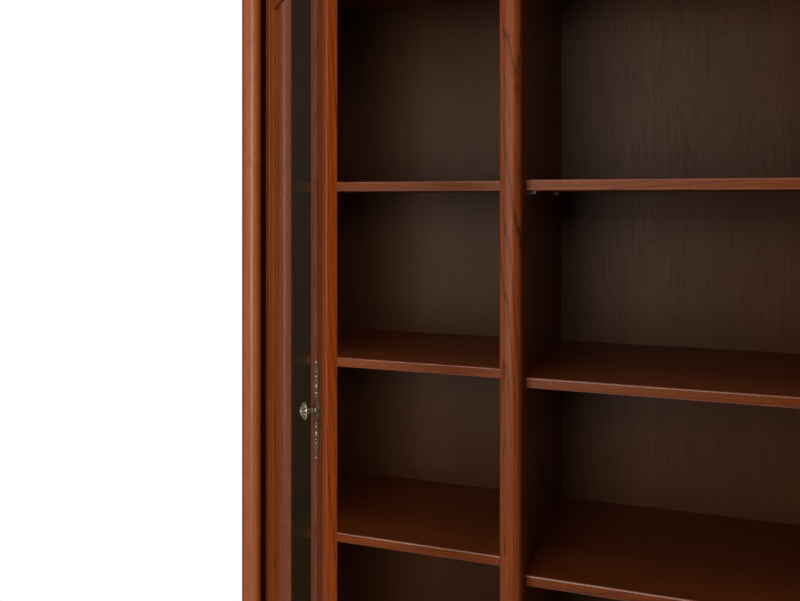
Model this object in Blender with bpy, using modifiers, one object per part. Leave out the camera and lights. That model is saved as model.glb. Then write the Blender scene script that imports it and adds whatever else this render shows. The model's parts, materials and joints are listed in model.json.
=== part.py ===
"""Display cabinet with two bays of shelves, the left bay behind a framed glass door on knife hinges."""

import math

import bmesh
import bpy
from mathutils import Matrix, Vector

# Sizes in metres. +X is to the right, -Y is the front, +Z is up, and the origin lies on the floor
# under the middle of the body. The door is drawn closed and then turned about its hinge pins.

# Fits
FIT = 0.0003  # gap between pieces that touch
HALF_FIT = FIT / 2
OVERCUT = 0.001  # how far a cutter runs past the face it cuts

# Body
BODY_WIDTH = 0.972
BODY_DEPTH = 0.425
POST_WIDTH = 0.036
POST_DEPTH = 0.036
OUTER_POST_DEPTH = 0.0145  # the left and right posts stand on the front edges of the sides
POST_ROUNDING = 0.014
SIDE_THICKNESS = 0.018
PANEL_THICKNESS = 0.022
BACK_THICKNESS = 0.005
TOP_RAIL_DROP = 0.013  # how far the upper face rails hang below the top panel
RAIL_SETBACK = 0.004
RAIL_ROUNDING = 0.003

# Shelves
SHELVES_PER_BAY = 4
SHELF_THICKNESS = 0.018
SHELF_PITCH = 0.320
TOP_COMPARTMENT = 0.384
LEFT_SHELF_DEPTH = 0.322
RIGHT_SHELF_DEPTH = 0.378
SHELF_PLAY = 0.0004
SHELF_ROUNDING = 0.0015
PIN_RADIUS = 0.0025
PIN_SEAT = 0.010  # length of a shelf pin inside the wall
PIN_TAB_LENGTH = 0.011
PIN_TAB_WIDTH = 0.009
PIN_TAB_THICKNESS = 0.002
PIN_FRONT_INSET = 0.050
PIN_REAR_INSET = 0.084

# Plinth and feet
PLINTH_HEIGHT = 0.110
PLINTH_THICKNESS = 0.018
PLINTH_PROUD = 0.012
PLINTH_ROUNDING = 0.009
GLIDE_HEIGHT = 0.005
GLIDE_RADIUS = 0.012
GLIDE_CHAMFER = 0.0012
GLIDE_INSET = 0.040

# Cornice
CORNICE_HEIGHT = 0.050
CORNICE_PROUD = 0.030
CORNICE_THICKNESS = 0.018
CORNICE_FILLET = 0.005
CAP_THICKNESS = 0.020
CAP_PROUD = 0.038
CAP_ROUNDING = 0.008

# Door
DOOR_GAP = 0.0025
DOOR_SETBACK = 0.014
DOOR_THICKNESS = 0.018
DOOR_OPEN = math.radians(50.85)
FRAME_WIDTH = 0.076
FRAME_ROUNDING_WIDTH = 0.012
FRAME_ROUNDING_DEPTH = 0.0055
BEAD_WIDTH = 0.0355
BEAD_RISE_WIDTH = 0.020
BEAD_HEIGHT = 0.001
BEAD_FALL = 0.002  # level of the bead's inner edge, behind the face of the frame
QUIRK_WIDTH = 0.001  # groove between the flat of the frame and its bead
QUIRK_DEPTH = 0.0025
LIP_DEPTH = 0.0035  # front of the glass, behind the face of the frame
REBATE_WIDTH = 0.008
GLASS_THICKNESS = 0.004

# Hinges
HINGE_INSET = 0.015
HINGE_DEPTH = 0.011
LEAF_WIDTH = 0.008
LEAF_LENGTH = 0.040
LEAF_THICKNESS = 0.0025
HINGE_PIN_RADIUS = 0.002
HINGE_PIN_LENGTH = 0.006  # past the leaf on the door
COLLAR_RADIUS = 0.0035
LEAF_SCREW_RADIUS = 0.0013
LEAF_SCREW_LENGTH = 0.012
LEAF_SCREW_SPOTS = (0.013, 0.026)

# Knob and its plate
KNOB_LEVEL = 1.097
KNOB_INSET = 0.030
KNOB_RADIUS = 0.0125
KNOB_LENGTH = 0.023
KNOB_HEAD_DEPTH = 0.0095
STEM_RADIUS = 0.0032
STEM_FOOT_RADIUS = 0.006
PLATE_LENGTH = 0.133
PLATE_WIDTH = 0.017
PLATE_WAIST = 0.0075
PLATE_THICKNESS = 0.0025
KNOB_SCREW_RADIUS = 0.0015
KNOB_SCREW_REACH = 0.009  # into the knob
KNOB_SCREW_HEAD_RADIUS = 0.004
KNOB_SCREW_HEAD_DEPTH = 0.002

# Catch
CATCH_WIDTH = 0.015
CATCH_DEPTH = 0.026
CATCH_HEIGHT = 0.046
CATCH_DROP = 0.030  # top of the catch below the top panel
MAGNET_WIDTH = 0.007
MAGNET_DEPTH = 0.008
MAGNET_HEIGHT = 0.020
STRIKE_THICKNESS = 0.0012
STRIKE_WIDTH = 0.012
STRIKE_HEIGHT = 0.030
CATCH_GAP = 0.0005
SMALL_SCREW_RADIUS = 0.0014
SMALL_SCREW_HEAD_RADIUS = 0.0027
SMALL_SCREW_HEAD_DEPTH = 0.0012
SMALL_SCREW_LENGTH = 0.010
CATCH_SCREW_INSET = 0.007

# Fineness of round stretches
ROUND_STEPS = 24
SMALL_ROUND_STEPS = 10
ARC_STEPS = 5

# Levels and faces that the sizes above give
HALF_WIDTH = BODY_WIDTH / 2
SIDE_INNER = HALF_WIDTH - SIDE_THICKNESS
POST_INNER = HALF_WIDTH - POST_WIDTH
DIVIDER_FACE = POST_WIDTH / 2
FRONT = -BODY_DEPTH / 2
REAR = BODY_DEPTH / 2
POST_REAR = FRONT + POST_DEPTH
OUTER_POST_REAR = FRONT + OUTER_POST_DEPTH
BACK_FACE = REAR - BACK_THICKNESS
RAIL_FRONT = FRONT + RAIL_SETBACK
FLOOR_LEVEL = PLINTH_HEIGHT + PANEL_THICKNESS
SHELF_LEVELS = [FLOOR_LEVEL + SHELF_PITCH * (i + 1) for i in range(SHELVES_PER_BAY)]
CEILING = SHELF_LEVELS[-1] + TOP_COMPARTMENT
BODY_TOP = CEILING + PANEL_THICKNESS
TOP_RAIL_LEVEL = CEILING - TOP_RAIL_DROP
CAP_LEVEL = BODY_TOP + CORNICE_HEIGHT

DOOR_LEFT = -POST_INNER + DOOR_GAP
DOOR_RIGHT = -DIVIDER_FACE - DOOR_GAP
DOOR_BOTTOM = FLOOR_LEVEL + DOOR_GAP
DOOR_TOP = TOP_RAIL_LEVEL - DOOR_GAP
DOOR_WIDTH = DOOR_RIGHT - DOOR_LEFT
DOOR_HEIGHT = DOOR_TOP - DOOR_BOTTOM
DOOR_FACE = FRONT + DOOR_SETBACK
DOOR_BACK = DOOR_FACE + DOOR_THICKNESS
DOOR_MIDDLE = Vector(((DOOR_LEFT + DOOR_RIGHT) / 2, DOOR_FACE, (DOOR_BOTTOM + DOOR_TOP) / 2))
HINGE_X = DOOR_LEFT + HINGE_INSET
HINGE_Y = DOOR_FACE + HINGE_DEPTH
KNOB_X = DOOR_RIGHT - KNOB_INSET

RIGHT = Vector((1, 0, 0))
AWAY = Vector((0, 1, 0))
UP = Vector((0, 0, 1))


def clear_scene():
    for obj in list(bpy.data.objects):
        bpy.data.objects.remove(obj)


def new_collection(name):
    collection = bpy.data.collections.new(name)
    bpy.context.scene.collection.children.link(collection)
    return collection


def finish(name, colour, roughness, metallic=0.0, transmission=0.0):
    made = bpy.data.materials.new(name)
    made.use_nodes = True
    shader = made.node_tree.nodes["Principled BSDF"]
    shader.inputs["Base Color"].default_value = (*colour, 1.0)
    shader.inputs["Roughness"].default_value = roughness
    shader.inputs["Metallic"].default_value = metallic
    shader.inputs["Transmission Weight"].default_value = transmission
    return made


def facing(local_x, local_y):
    """The turn that lays local X and Y along two directions."""
    return Matrix((local_x, local_y, local_x.cross(local_y))).transposed().to_euler()


def keep(obj, look, place, turn=(0, 0, 0), parent=None):
    """Put an object in its place: a part if it has a finish, otherwise a cutter."""
    if look:
        parts.objects.link(obj)
        obj.data.materials.append(look)
    else:
        cutters.objects.link(obj)
        obj.hide_render = True
        obj.display_type = "WIRE"
    obj.parent = parent
    obj.location = Vector(place) - (parent.location if parent else Vector())
    obj.rotation_euler = turn
    return obj


def keep_mesh(name, bm, look, place, turn=(0, 0, 0), parent=None):
    bmesh.ops.recalc_face_normals(bm, faces=bm.faces)
    mesh = bpy.data.meshes.new(name)
    bm.to_mesh(mesh)
    bm.free()
    mesh.shade_smooth()
    mesh.set_sharp_from_angle(angle=math.radians(30))
    return keep(bpy.data.objects.new(name, mesh), look, place, turn, parent)


def combine(obj, operation, other):
    modifier = obj.modifiers.new(other.name, "BOOLEAN")
    modifier.operation = operation
    modifier.solver = "EXACT"
    modifier.object = other


def cut(obj, *others):
    for other in others:
        combine(obj, "DIFFERENCE", other)


def join(obj, *others):
    for other in others:
        combine(obj, "UNION", other)


def box(name, low, high, look=None, parent=None, ease=0.0, rounded=(), radius=0.0):
    """A box between two corners, grown by ease. The signs of an edge's middle name it for rounding."""
    low = Vector(low) - Vector((ease, ease, ease))
    high = Vector(high) + Vector((ease, ease, ease))
    bm = bmesh.new()
    bmesh.ops.create_cube(bm, size=1.0)
    picked = []
    for edge in bm.edges:
        middle = edge.verts[0].co + edge.verts[1].co
        if tuple(round(c) for c in middle) in rounded:
            picked.append(edge)
    bmesh.ops.scale(bm, vec=high - low, verts=bm.verts)
    if picked:
        bmesh.ops.bevel(bm, geom=picked, offset=radius, segments=ARC_STEPS, profile=0.5, affect="EDGES")
    return keep_mesh(name, bm, look, (low + high) / 2, parent=parent)


def board(name, low, high, look, parent=None, rounded=(), radius=0.0):
    """A box that leaves half a fit free on every side."""
    return box(name, low, high, look, parent, -HALF_FIT, rounded, radius)


def cylinder(name, radius, low, high, place, turn=(0, 0, 0), look=None, parent=None):
    """A cylinder along local Z between two levels."""
    bm = bmesh.new()
    bmesh.ops.create_cone(
        bm, cap_ends=True, segments=SMALL_ROUND_STEPS, radius1=radius, radius2=radius, depth=high - low
    )
    bmesh.ops.translate(bm, vec=(0, 0, (low + high) / 2), verts=bm.verts)
    return keep_mesh(name, bm, look, place, turn, parent)


def turned(name, profile, steps, place, turn=(0, 0, 0), look=None, parent=None):
    """A turned solid about local Z. The profile of radius and level runs from its top to its foot."""
    mesh = bpy.data.meshes.new(name)
    bm = bmesh.new()
    points = [bm.verts.new((radius, 0, level)) for radius, level in profile]
    for first, second in zip(points, points[1:]):
        bm.edges.new((first, second))
    bm.to_mesh(mesh)
    bm.free()
    obj = keep(bpy.data.objects.new(name, mesh), look, place, turn, parent)
    screw = obj.modifiers.new("Turn", "SCREW")
    screw.steps = steps
    screw.render_steps = steps
    screw.use_merge_vertices = True
    screw.merge_threshold = 0.00001
    screw.use_smooth_shade = True
    return obj


def arc(centre, radii, start, end, steps=ARC_STEPS):
    """Points of an elliptical arc, with its angles in degrees."""
    angles = [math.radians(start + (end - start) * i / steps) for i in range(steps + 1)]
    return [(centre[0] + radii[0] * math.cos(a), centre[1] + radii[1] * math.sin(a)) for a in angles]


def outline_curve(name, outlines, thickness):
    """A flat shape: the first outline filled, less any others."""
    curve = bpy.data.curves.new(name, "CURVE")
    curve.dimensions = "2D"
    curve.fill_mode = "BOTH"
    curve.extrude = thickness / 2
    for outline in outlines:
        spline = curve.splines.new("POLY")
        spline.points.add(len(outline) - 1)
        for point, (x, y) in zip(spline.points, outline):
            point.co = (x, y, 0, 1)
        spline.use_cyclic_u = True
    return bpy.data.objects.new(name, curve)


def outline_mesh(name, outlines, thickness):
    """The same shape as a welded bmesh."""
    carrier = outline_curve(name, outlines, thickness)
    cutters.objects.link(carrier)
    bpy.context.view_layer.update()
    mesh = bpy.data.meshes.new_from_object(carrier.evaluated_get(bpy.context.evaluated_depsgraph_get()))
    curve = carrier.data
    bpy.data.objects.remove(carrier)
    bpy.data.curves.remove(curve)
    bm = bmesh.new()
    bm.from_mesh(mesh)
    bpy.data.meshes.remove(mesh)
    bmesh.ops.remove_doubles(bm, verts=bm.verts, dist=0.000001)
    return bm


def moulding(name, outline, length, leans, look, place, turn, parent=None):
    """A moulding along local Z, its low and high ends each cut to a mitre that leans with the outline's X."""
    reach = max(abs(x) for x, _ in outline)
    bm = outline_mesh(name, [outline], length + 4 * reach)
    for side, lean in zip((-1, 1), leans):
        end = length / 2 - HALF_FIT * math.hypot(1, lean)
        everything = bm.verts[:] + bm.edges[:] + bm.faces[:]
        bmesh.ops.bisect_plane(
            bm, geom=everything, plane_co=(0, 0, side * end), plane_no=(-lean, 0, side), clear_outer=True
        )
        bmesh.ops.holes_fill(bm, edges=[edge for edge in bm.edges if edge.is_boundary])
    return keep_mesh(name, bm, look, place, turn, parent)


def make_posts_and_sides():
    front_edges = ((-1, -1, 0), (1, -1, 0))
    for name, x in (("left", -1), ("centre", 0), ("right", 1)):
        middle = x * (HALF_WIDTH - POST_WIDTH / 2)
        rear = OUTER_POST_REAR if x else POST_REAR
        low = (middle - POST_WIDTH / 2, FRONT, PLINTH_HEIGHT)
        high = (middle + POST_WIDTH / 2, rear, BODY_TOP)
        board(f"front_post_{name}", low, high, veneer, rounded=front_edges, radius=POST_ROUNDING)
    walls = {}
    low = (-HALF_WIDTH, OUTER_POST_REAR, PLINTH_HEIGHT)
    walls["left"] = board("side_panel_left", low, (-SIDE_INNER, REAR, BODY_TOP), veneer)
    low = (SIDE_INNER, OUTER_POST_REAR, PLINTH_HEIGHT)
    walls["right"] = board("side_panel_right", low, (HALF_WIDTH, REAR, BODY_TOP), veneer)
    low = (-DIVIDER_FACE, POST_REAR, FLOOR_LEVEL)
    walls["centre"] = board("centre_divider", low, (DIVIDER_FACE, BACK_FACE, CEILING), veneer)
    return walls


def make_panels():
    low = (-SIDE_INNER, POST_REAR, PLINTH_HEIGHT)
    board("bottom_panel", low, (SIDE_INNER, BACK_FACE, FLOOR_LEVEL), veneer)
    board("top_panel", (-SIDE_INNER, POST_REAR, CEILING), (SIDE_INNER, BACK_FACE, BODY_TOP), veneer)
    board("back_panel_left", (-SIDE_INNER, BACK_FACE, PLINTH_HEIGHT), (0, REAR, BODY_TOP), back_veneer)
    board("back_panel_right", (0, BACK_FACE, PLINTH_HEIGHT), (SIDE_INNER, REAR, BODY_TOP), back_veneer)


def make_face_rails():
    """Rails above and below each bay, between the posts and on behind the outer one.

    Returns the two that carry the door.
    """
    rails = {}
    for name, left, right, side in (
        ("left", -POST_INNER, -DIVIDER_FACE, -1),
        ("right", DIVIDER_FACE, POST_INNER, 1),
    ):
        tail = sorted((side * SIDE_INNER, side * (POST_INNER - OVERCUT)))
        for level, bottom, top, inner in (
            ("top", TOP_RAIL_LEVEL, BODY_TOP, -1),
            ("bottom", PLINTH_HEIGHT, FLOOR_LEVEL, 1),
        ):
            rail = board(
                f"{level}_rail_{name}",
                (left, RAIL_FRONT, bottom),
                (right, POST_REAR, top),
                veneer,
                rounded=((0, -1, inner),),
                radius=RAIL_ROUNDING,
            )
            low = (tail[0], OUTER_POST_REAR, bottom)
            join(rail, box(f"tail_{level}_{name}", low, (tail[1], POST_REAR, top), ease=-HALF_FIT))
            rails[level, name] = rail
    return rails["top", "left"], rails["bottom", "left"]


def make_shelf(name, left, right, front, level, left_wall, right_wall):
    """A shelf and the four pins that carry it, with their holes in the walls."""
    low = (left + SHELF_PLAY, front, level - SHELF_THICKNESS)
    high = (right - SHELF_PLAY, BACK_FACE, level)
    shelf = board(name, low, high, veneer, rounded=((0, -1, 1), (0, -1, -1)), radius=SHELF_ROUNDING)
    underside = level - SHELF_THICKNESS
    tab_low = underside - PIN_TAB_THICKNESS
    pin_level = tab_low - PIN_RADIUS / 2
    for wall, wall_face, inward in ((left_wall, left, 1), (right_wall, right, -1)):
        for spot, y in (("front", front + PIN_FRONT_INSET), ("rear", BACK_FACE - PIN_REAR_INSET)):
            label = f"{name}_{'left' if inward > 0 else 'right'}_{spot}"
            ends = sorted((wall_face + inward * FIT, wall_face + inward * PIN_TAB_LENGTH))
            tab = box(
                f"tab_{label}",
                (ends[0], y - PIN_TAB_WIDTH / 2, tab_low),
                (ends[1], y + PIN_TAB_WIDTH / 2, underside + PIN_TAB_THICKNESS),
            )
            along = facing(AWAY, UP) if inward > 0 else facing(-AWAY, UP)
            place = (wall_face, y, pin_level)
            pin = cylinder(f"pin_{label}", PIN_RADIUS, -PIN_SEAT, PIN_TAB_LENGTH - FIT, place, along)
            hole = cylinder(f"hole_{label}", PIN_RADIUS + FIT, -PIN_SEAT - FIT, OVERCUT, place, along)
            join(shelf, tab, pin)
            cut(wall, hole)


def make_shelves(walls):
    for i, level in enumerate(SHELF_LEVELS, start=1):
        front = BACK_FACE - LEFT_SHELF_DEPTH
        make_shelf(
            f"shelf_left_{i}", -SIDE_INNER, -DIVIDER_FACE, front, level, walls["left"], walls["centre"]
        )
        front = BACK_FACE - RIGHT_SHELF_DEPTH
        make_shelf(
            f"shelf_right_{i}", DIVIDER_FACE, SIDE_INNER, front, level, walls["centre"], walls["right"]
        )


def make_plinth():
    """A mitred front and sides, a back board and a bearer under the divider."""
    height = PLINTH_HEIGHT - GLIDE_HEIGHT
    middle = GLIDE_HEIGHT + height / 2
    top = height / 2 - HALF_FIT
    rounding = arc((PLINTH_PROUD - PLINTH_ROUNDING, top - PLINTH_ROUNDING), (PLINTH_ROUNDING,) * 2, 0, 90)
    inside = -PLINTH_THICKNESS
    outline = [(inside, -top), (PLINTH_PROUD, -top), *rounding, (inside, top)]
    moulding(
        "plinth_front", outline, BODY_WIDTH, (1, 1), veneer, (0, FRONT, middle), facing(-AWAY, UP)
    )
    moulding(
        "plinth_left", outline, BODY_DEPTH, (1, 0), veneer, (-HALF_WIDTH, 0, middle), facing(-RIGHT, UP)
    )
    moulding(
        "plinth_right", outline, BODY_DEPTH, (0, 1), veneer, (HALF_WIDTH, 0, middle), facing(RIGHT, UP)
    )
    inner = HALF_WIDTH - PLINTH_THICKNESS
    rear = REAR - PLINTH_THICKNESS
    board("plinth_back", (-inner, rear, GLIDE_HEIGHT), (inner, REAR, PLINTH_HEIGHT), veneer)
    low = (-DIVIDER_FACE, FRONT + PLINTH_THICKNESS, -HALF_FIT)
    board("plinth_centre", low, (DIVIDER_FACE, rear, PLINTH_HEIGHT), veneer)


def make_glides():
    x = HALF_WIDTH - PLINTH_THICKNESS / 2
    for side, sign in (("left", -1), ("right", 1)):
        for end, y in (("front", FRONT + GLIDE_INSET), ("rear", REAR - GLIDE_INSET)):
            profile = [
                (0, GLIDE_HEIGHT - HALF_FIT),
                (GLIDE_RADIUS, GLIDE_HEIGHT - HALF_FIT),
                (GLIDE_RADIUS, GLIDE_CHAMFER),
                (GLIDE_RADIUS - GLIDE_CHAMFER, 0),
                (0, 0),
            ]
            turned(f"glide_{side}_{end}", profile, ROUND_STEPS, (sign * x, y, 0), look=glide_plastic)


def make_cornice():
    """A cove moulding round the front and sides, a plain board at the back, and the board that caps them."""
    top = CORNICE_HEIGHT - HALF_FIT
    step = CORNICE_FILLET
    radii = (CORNICE_PROUD - 2 * step, CORNICE_HEIGHT - 2 * step)
    cove = arc((CORNICE_PROUD - step, step), radii, 180, 90, 2 * ARC_STEPS)
    outline = [
        (-CORNICE_THICKNESS, HALF_FIT),
        (step, HALF_FIT),
        *cove,
        (CORNICE_PROUD, CORNICE_HEIGHT - step),
        (CORNICE_PROUD, top),
        (-CORNICE_THICKNESS, top),
    ]
    moulding(
        "cornice_front", outline, BODY_WIDTH, (1, 1), veneer, (0, FRONT, BODY_TOP), facing(-AWAY, UP)
    )
    moulding(
        "cornice_left", outline, BODY_DEPTH, (1, 0), veneer, (-HALF_WIDTH, 0, BODY_TOP), facing(-RIGHT, UP)
    )
    moulding(
        "cornice_right", outline, BODY_DEPTH, (0, 1), veneer, (HALF_WIDTH, 0, BODY_TOP), facing(RIGHT, UP)
    )
    inner = HALF_WIDTH - CORNICE_THICKNESS
    board("cornice_back", (-inner, REAR - CORNICE_THICKNESS, BODY_TOP), (inner, REAR, CAP_LEVEL), veneer)
    reach = HALF_WIDTH + CAP_PROUD
    low = (-reach, FRONT - CAP_PROUD, CAP_LEVEL)
    high = (reach, REAR, CAP_LEVEL + CAP_THICKNESS)
    edges = ((0, -1, -1), (0, -1, 1), (-1, 0, -1), (-1, 0, 1), (1, 0, -1), (1, 0, 1))
    board("cornice_cap", low, high, veneer, rounded=edges, radius=CAP_ROUNDING)


def frame_outline():
    """Section of the door frame: X runs in from its outer edge and Y stands out from its face."""
    edge = arc(
        (FRAME_ROUNDING_WIDTH, -FRAME_ROUNDING_DEPTH), (FRAME_ROUNDING_WIDTH, FRAME_ROUNDING_DEPTH), 180, 90
    )
    bead = FRAME_WIDTH - BEAD_WIDTH
    crest = bead + BEAD_RISE_WIDTH
    rise = arc((crest, -QUIRK_DEPTH), (BEAD_RISE_WIDTH, BEAD_HEIGHT + QUIRK_DEPTH), 180, 90)
    fall = arc((crest, -BEAD_FALL), (FRAME_WIDTH - crest, BEAD_HEIGHT + BEAD_FALL), 90, 0)
    rebate = FRAME_WIDTH - REBATE_WIDTH
    back = -DOOR_THICKNESS
    lip = [(FRAME_WIDTH, -LIP_DEPTH), (rebate, -LIP_DEPTH), (rebate, back), (0, back)]
    return [*edge, (bead - QUIRK_WIDTH, 0), *rise, *fall[1:], *lip]


def make_door_frame(hinge):
    """Two stiles and two rails, mitred at the corners."""
    outline = frame_outline()
    half_width = DOOR_WIDTH / 2
    half_height = DOOR_HEIGHT / 2
    members = {
        "door_stile_hinge": (-half_width * RIGHT, RIGHT, DOOR_HEIGHT),
        "door_stile_free": (half_width * RIGHT, -RIGHT, DOOR_HEIGHT),
        "door_rail_top": (half_height * UP, -UP, DOOR_WIDTH),
        "door_rail_bottom": (-half_height * UP, UP, DOOR_WIDTH),
    }
    made = {}
    for name, (offset, inward, length) in members.items():
        place = DOOR_MIDDLE + offset
        turn = facing(inward, -AWAY)
        made[name] = moulding(name, outline, length, (-1, -1), veneer, place, turn, hinge)
    return made


def make_glazing(hinge):
    """The pane in the rebate of the frame, and the stops that hold it from behind."""
    edge = FRAME_WIDTH - REBATE_WIDTH
    left = DOOR_LEFT + edge
    right = DOOR_RIGHT - edge
    bottom = DOOR_BOTTOM + edge
    top = DOOR_TOP - edge
    front = DOOR_FACE + LIP_DEPTH
    rear = front + GLASS_THICKNESS + FIT
    board("door_glass", (left, front, bottom), (right, rear, top), glass, hinge)
    lower = bottom + REBATE_WIDTH
    upper = top - REBATE_WIDTH
    stops = {
        "top": (left, right, upper, top),
        "bottom": (left, right, bottom, lower),
        "hinge": (left, left + REBATE_WIDTH, lower, upper),
        "free": (right - REBATE_WIDTH, right, lower, upper),
    }
    for name, (x_low, x_high, z_low, z_high) in stops.items():
        low = (x_low, rear, z_low)
        board(f"glazing_stop_{name}", low, (x_high, DOOR_BACK, z_high), veneer, hinge)


def leaf_outline(ease):
    """A leaf seen along the hinge pin, which stands in the middle of its round end."""
    radius = LEAF_WIDTH / 2 + ease
    end = LEAF_LENGTH - LEAF_WIDTH / 2 + ease
    return [*arc((0, 0), (radius, radius), 90, 270, 2 * ARC_STEPS), (end, -radius), (end, radius)]


def make_leaf(name, place, upward, look, parent=None):
    """A leaf with two screws that stand on its hidden side, and a cutter for its seat in the wood.

    Local Z points out of the wood, with the leaf's face level with the wood's.
    """
    turn = facing(RIGHT, AWAY) if upward else facing(RIGHT, -AWAY)
    bm = outline_mesh(name, [leaf_outline(0)], LEAF_THICKNESS)
    bmesh.ops.translate(bm, vec=(0, 0, -LEAF_THICKNESS / 2), verts=bm.verts)
    leaf = keep_mesh(name, bm, look, place, turn, parent)
    depth = LEAF_THICKNESS + FIT + OVERCUT
    bm = outline_mesh(f"seat_{name}", [leaf_outline(FIT)], depth)
    bmesh.ops.translate(bm, vec=(0, 0, OVERCUT - depth / 2), verts=bm.verts)
    seats = [keep_mesh(f"seat_{name}", bm, None, place, turn, parent)]
    for i, spot in enumerate(LEAF_SCREW_SPOTS, start=1):
        out = Vector(place) + spot * RIGHT
        tip = -LEAF_THICKNESS - LEAF_SCREW_LENGTH
        rise = -LEAF_THICKNESS / 2
        join(leaf, cylinder(f"screw_{i}_{name}", LEAF_SCREW_RADIUS, tip, rise, out, turn, parent=parent))
        wide = LEAF_SCREW_RADIUS + FIT
        seats.append(cylinder(f"screw_hole_{i}_{name}", wide, tip - FIT, rise, out, turn, parent=parent))
    return leaf, seats


def make_hinges(hinge, rails, frame):
    """A pair of leaves at the top and the bottom. The case leaf carries a pin with a collar."""
    pairs = (
        ("top", rails[0], frame["door_rail_top"], TOP_RAIL_LEVEL, DOOR_TOP, True),
        ("bottom", rails[1], frame["door_rail_bottom"], FLOOR_LEVEL, DOOR_BOTTOM, False),
    )
    for name, case_wood, door_wood, case_level, door_level, door_faces_up in pairs:
        place = (HINGE_X, HINGE_Y, case_level)
        case_leaf, seats = make_leaf(f"hinge_{name}_case_leaf", place, not door_faces_up, brass)
        cut(case_wood, *seats)
        tip = DOOR_GAP + LEAF_THICKNESS + HINGE_PIN_LENGTH
        collar = DOOR_GAP - FIT
        profile = [
            (0, tip),
            (HINGE_PIN_RADIUS, tip),
            (HINGE_PIN_RADIUS, collar),
            (COLLAR_RADIUS, collar),
            (COLLAR_RADIUS, -LEAF_THICKNESS / 2),
            (0, -LEAF_THICKNESS / 2),
        ]
        turn = facing(RIGHT, -AWAY) if door_faces_up else facing(RIGHT, AWAY)
        join(case_leaf, turned(f"hinge_pin_{name}", profile, SMALL_ROUND_STEPS, place, turn))
        place = (HINGE_X, HINGE_Y, door_level)
        door_leaf, seats = make_leaf(f"hinge_{name}_door_leaf", place, door_faces_up, brass, hinge)
        turn = facing(RIGHT, AWAY) if door_faces_up else facing(RIGHT, -AWAY)
        depth = LEAF_THICKNESS + HINGE_PIN_LENGTH + FIT
        socket = cylinder(
            f"socket_{name}", HINGE_PIN_RADIUS + FIT, -depth, OVERCUT, place, turn, parent=hinge
        )
        cut(door_leaf, socket)
        cut(door_wood, *seats, socket)


def plate_outline():
    """A plate with a boss at its middle, drawn in on each side of it and swelling again before its tips."""
    points = []
    steps = ROUND_STEPS
    for side in (1, -1):
        for i in range(steps):
            along = side * math.cos(math.pi * i / steps)
            wave = (1 + math.cos(3 * math.pi * along)) / 2
            width = PLATE_WAIST + (PLATE_WIDTH - PLATE_WAIST) * wave
            across = side * math.sqrt(1 - along * along)
            points.append((across * width / 2, along * PLATE_LENGTH / 2))
    return points


def knob_profile():
    """A domed head, a thin stem and a flared foot, hollow for the screw."""
    dome = arc((0, KNOB_LENGTH - KNOB_HEAD_DEPTH / 2), (KNOB_RADIUS, KNOB_HEAD_DEPTH / 2), 90, 0)
    under = arc(
        (STEM_RADIUS, KNOB_LENGTH - KNOB_HEAD_DEPTH / 2),
        (KNOB_RADIUS - STEM_RADIUS, KNOB_HEAD_DEPTH / 2),
        0,
        -90,
    )
    foot = FIT
    flare = STEM_FOOT_RADIUS - STEM_RADIUS
    base = arc((STEM_FOOT_RADIUS, foot + flare), (flare, flare), 180, 270)
    hole = KNOB_SCREW_RADIUS + FIT
    end = KNOB_SCREW_REACH + FIT
    return [*dome, *under[1:], *base, (hole, foot), (hole, end), (0, end)]


def make_knob(hinge, stile):
    """The knob on its plate, held by a screw from the back of the stile."""
    outward = facing(RIGHT, UP)
    hole = arc((0, 0), (KNOB_SCREW_RADIUS + FIT,) * 2, 0, 360, SMALL_ROUND_STEPS)[:-1]
    plate = outline_curve("knob_plate", [plate_outline(), hole], PLATE_THICKNESS)
    plate_middle = DOOR_FACE - FIT - PLATE_THICKNESS / 2
    keep(plate, brass, (KNOB_X, plate_middle, KNOB_LEVEL), outward, hinge)
    seat = (KNOB_X, plate_middle - PLATE_THICKNESS / 2, KNOB_LEVEL)
    turned("knob", knob_profile(), ROUND_STEPS, seat, outward, brass, hinge)
    backward = facing(-RIGHT, UP)
    place = (KNOB_X, DOOR_BACK + FIT, KNOB_LEVEL)
    tip = -(DOOR_THICKNESS + PLATE_THICKNESS + KNOB_SCREW_REACH)
    profile = [
        (0, KNOB_SCREW_HEAD_DEPTH),
        (KNOB_SCREW_HEAD_RADIUS, KNOB_SCREW_HEAD_DEPTH),
        (KNOB_SCREW_HEAD_RADIUS, 0),
        (KNOB_SCREW_RADIUS, 0),
        (KNOB_SCREW_RADIUS, tip),
        (0, tip),
    ]
    turned("knob_screw", profile, SMALL_ROUND_STEPS, place, backward, steel, hinge)
    wide = KNOB_SCREW_RADIUS + FIT
    cut(stile, cylinder("knob_bore", wide, -DOOR_THICKNESS - OVERCUT, OVERCUT, place, backward, parent=hinge))


def small_screw(name, place, turn, parent=None):
    """A countersunk screw with its head up, a little below the surface, and a cutter for its hole."""
    profile = [
        (0, -FIT),
        (SMALL_SCREW_HEAD_RADIUS, -FIT),
        (SMALL_SCREW_RADIUS, -SMALL_SCREW_HEAD_DEPTH - FIT),
        (SMALL_SCREW_RADIUS, -SMALL_SCREW_LENGTH),
        (0, -SMALL_SCREW_LENGTH),
    ]
    turned(name, profile, SMALL_ROUND_STEPS, place, turn, steel, parent)
    head = SMALL_SCREW_HEAD_RADIUS + FIT
    shank = SMALL_SCREW_RADIUS + FIT
    tip = -SMALL_SCREW_LENGTH - FIT
    hole = [
        (0, OVERCUT),
        (head, OVERCUT),
        (head, -FIT),
        (shank, -SMALL_SCREW_HEAD_DEPTH - FIT),
        (shank, tip),
        (0, tip),
    ]
    return turned(f"hole_{name}", hole, SMALL_ROUND_STEPS, place, turn, parent=parent)


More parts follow.
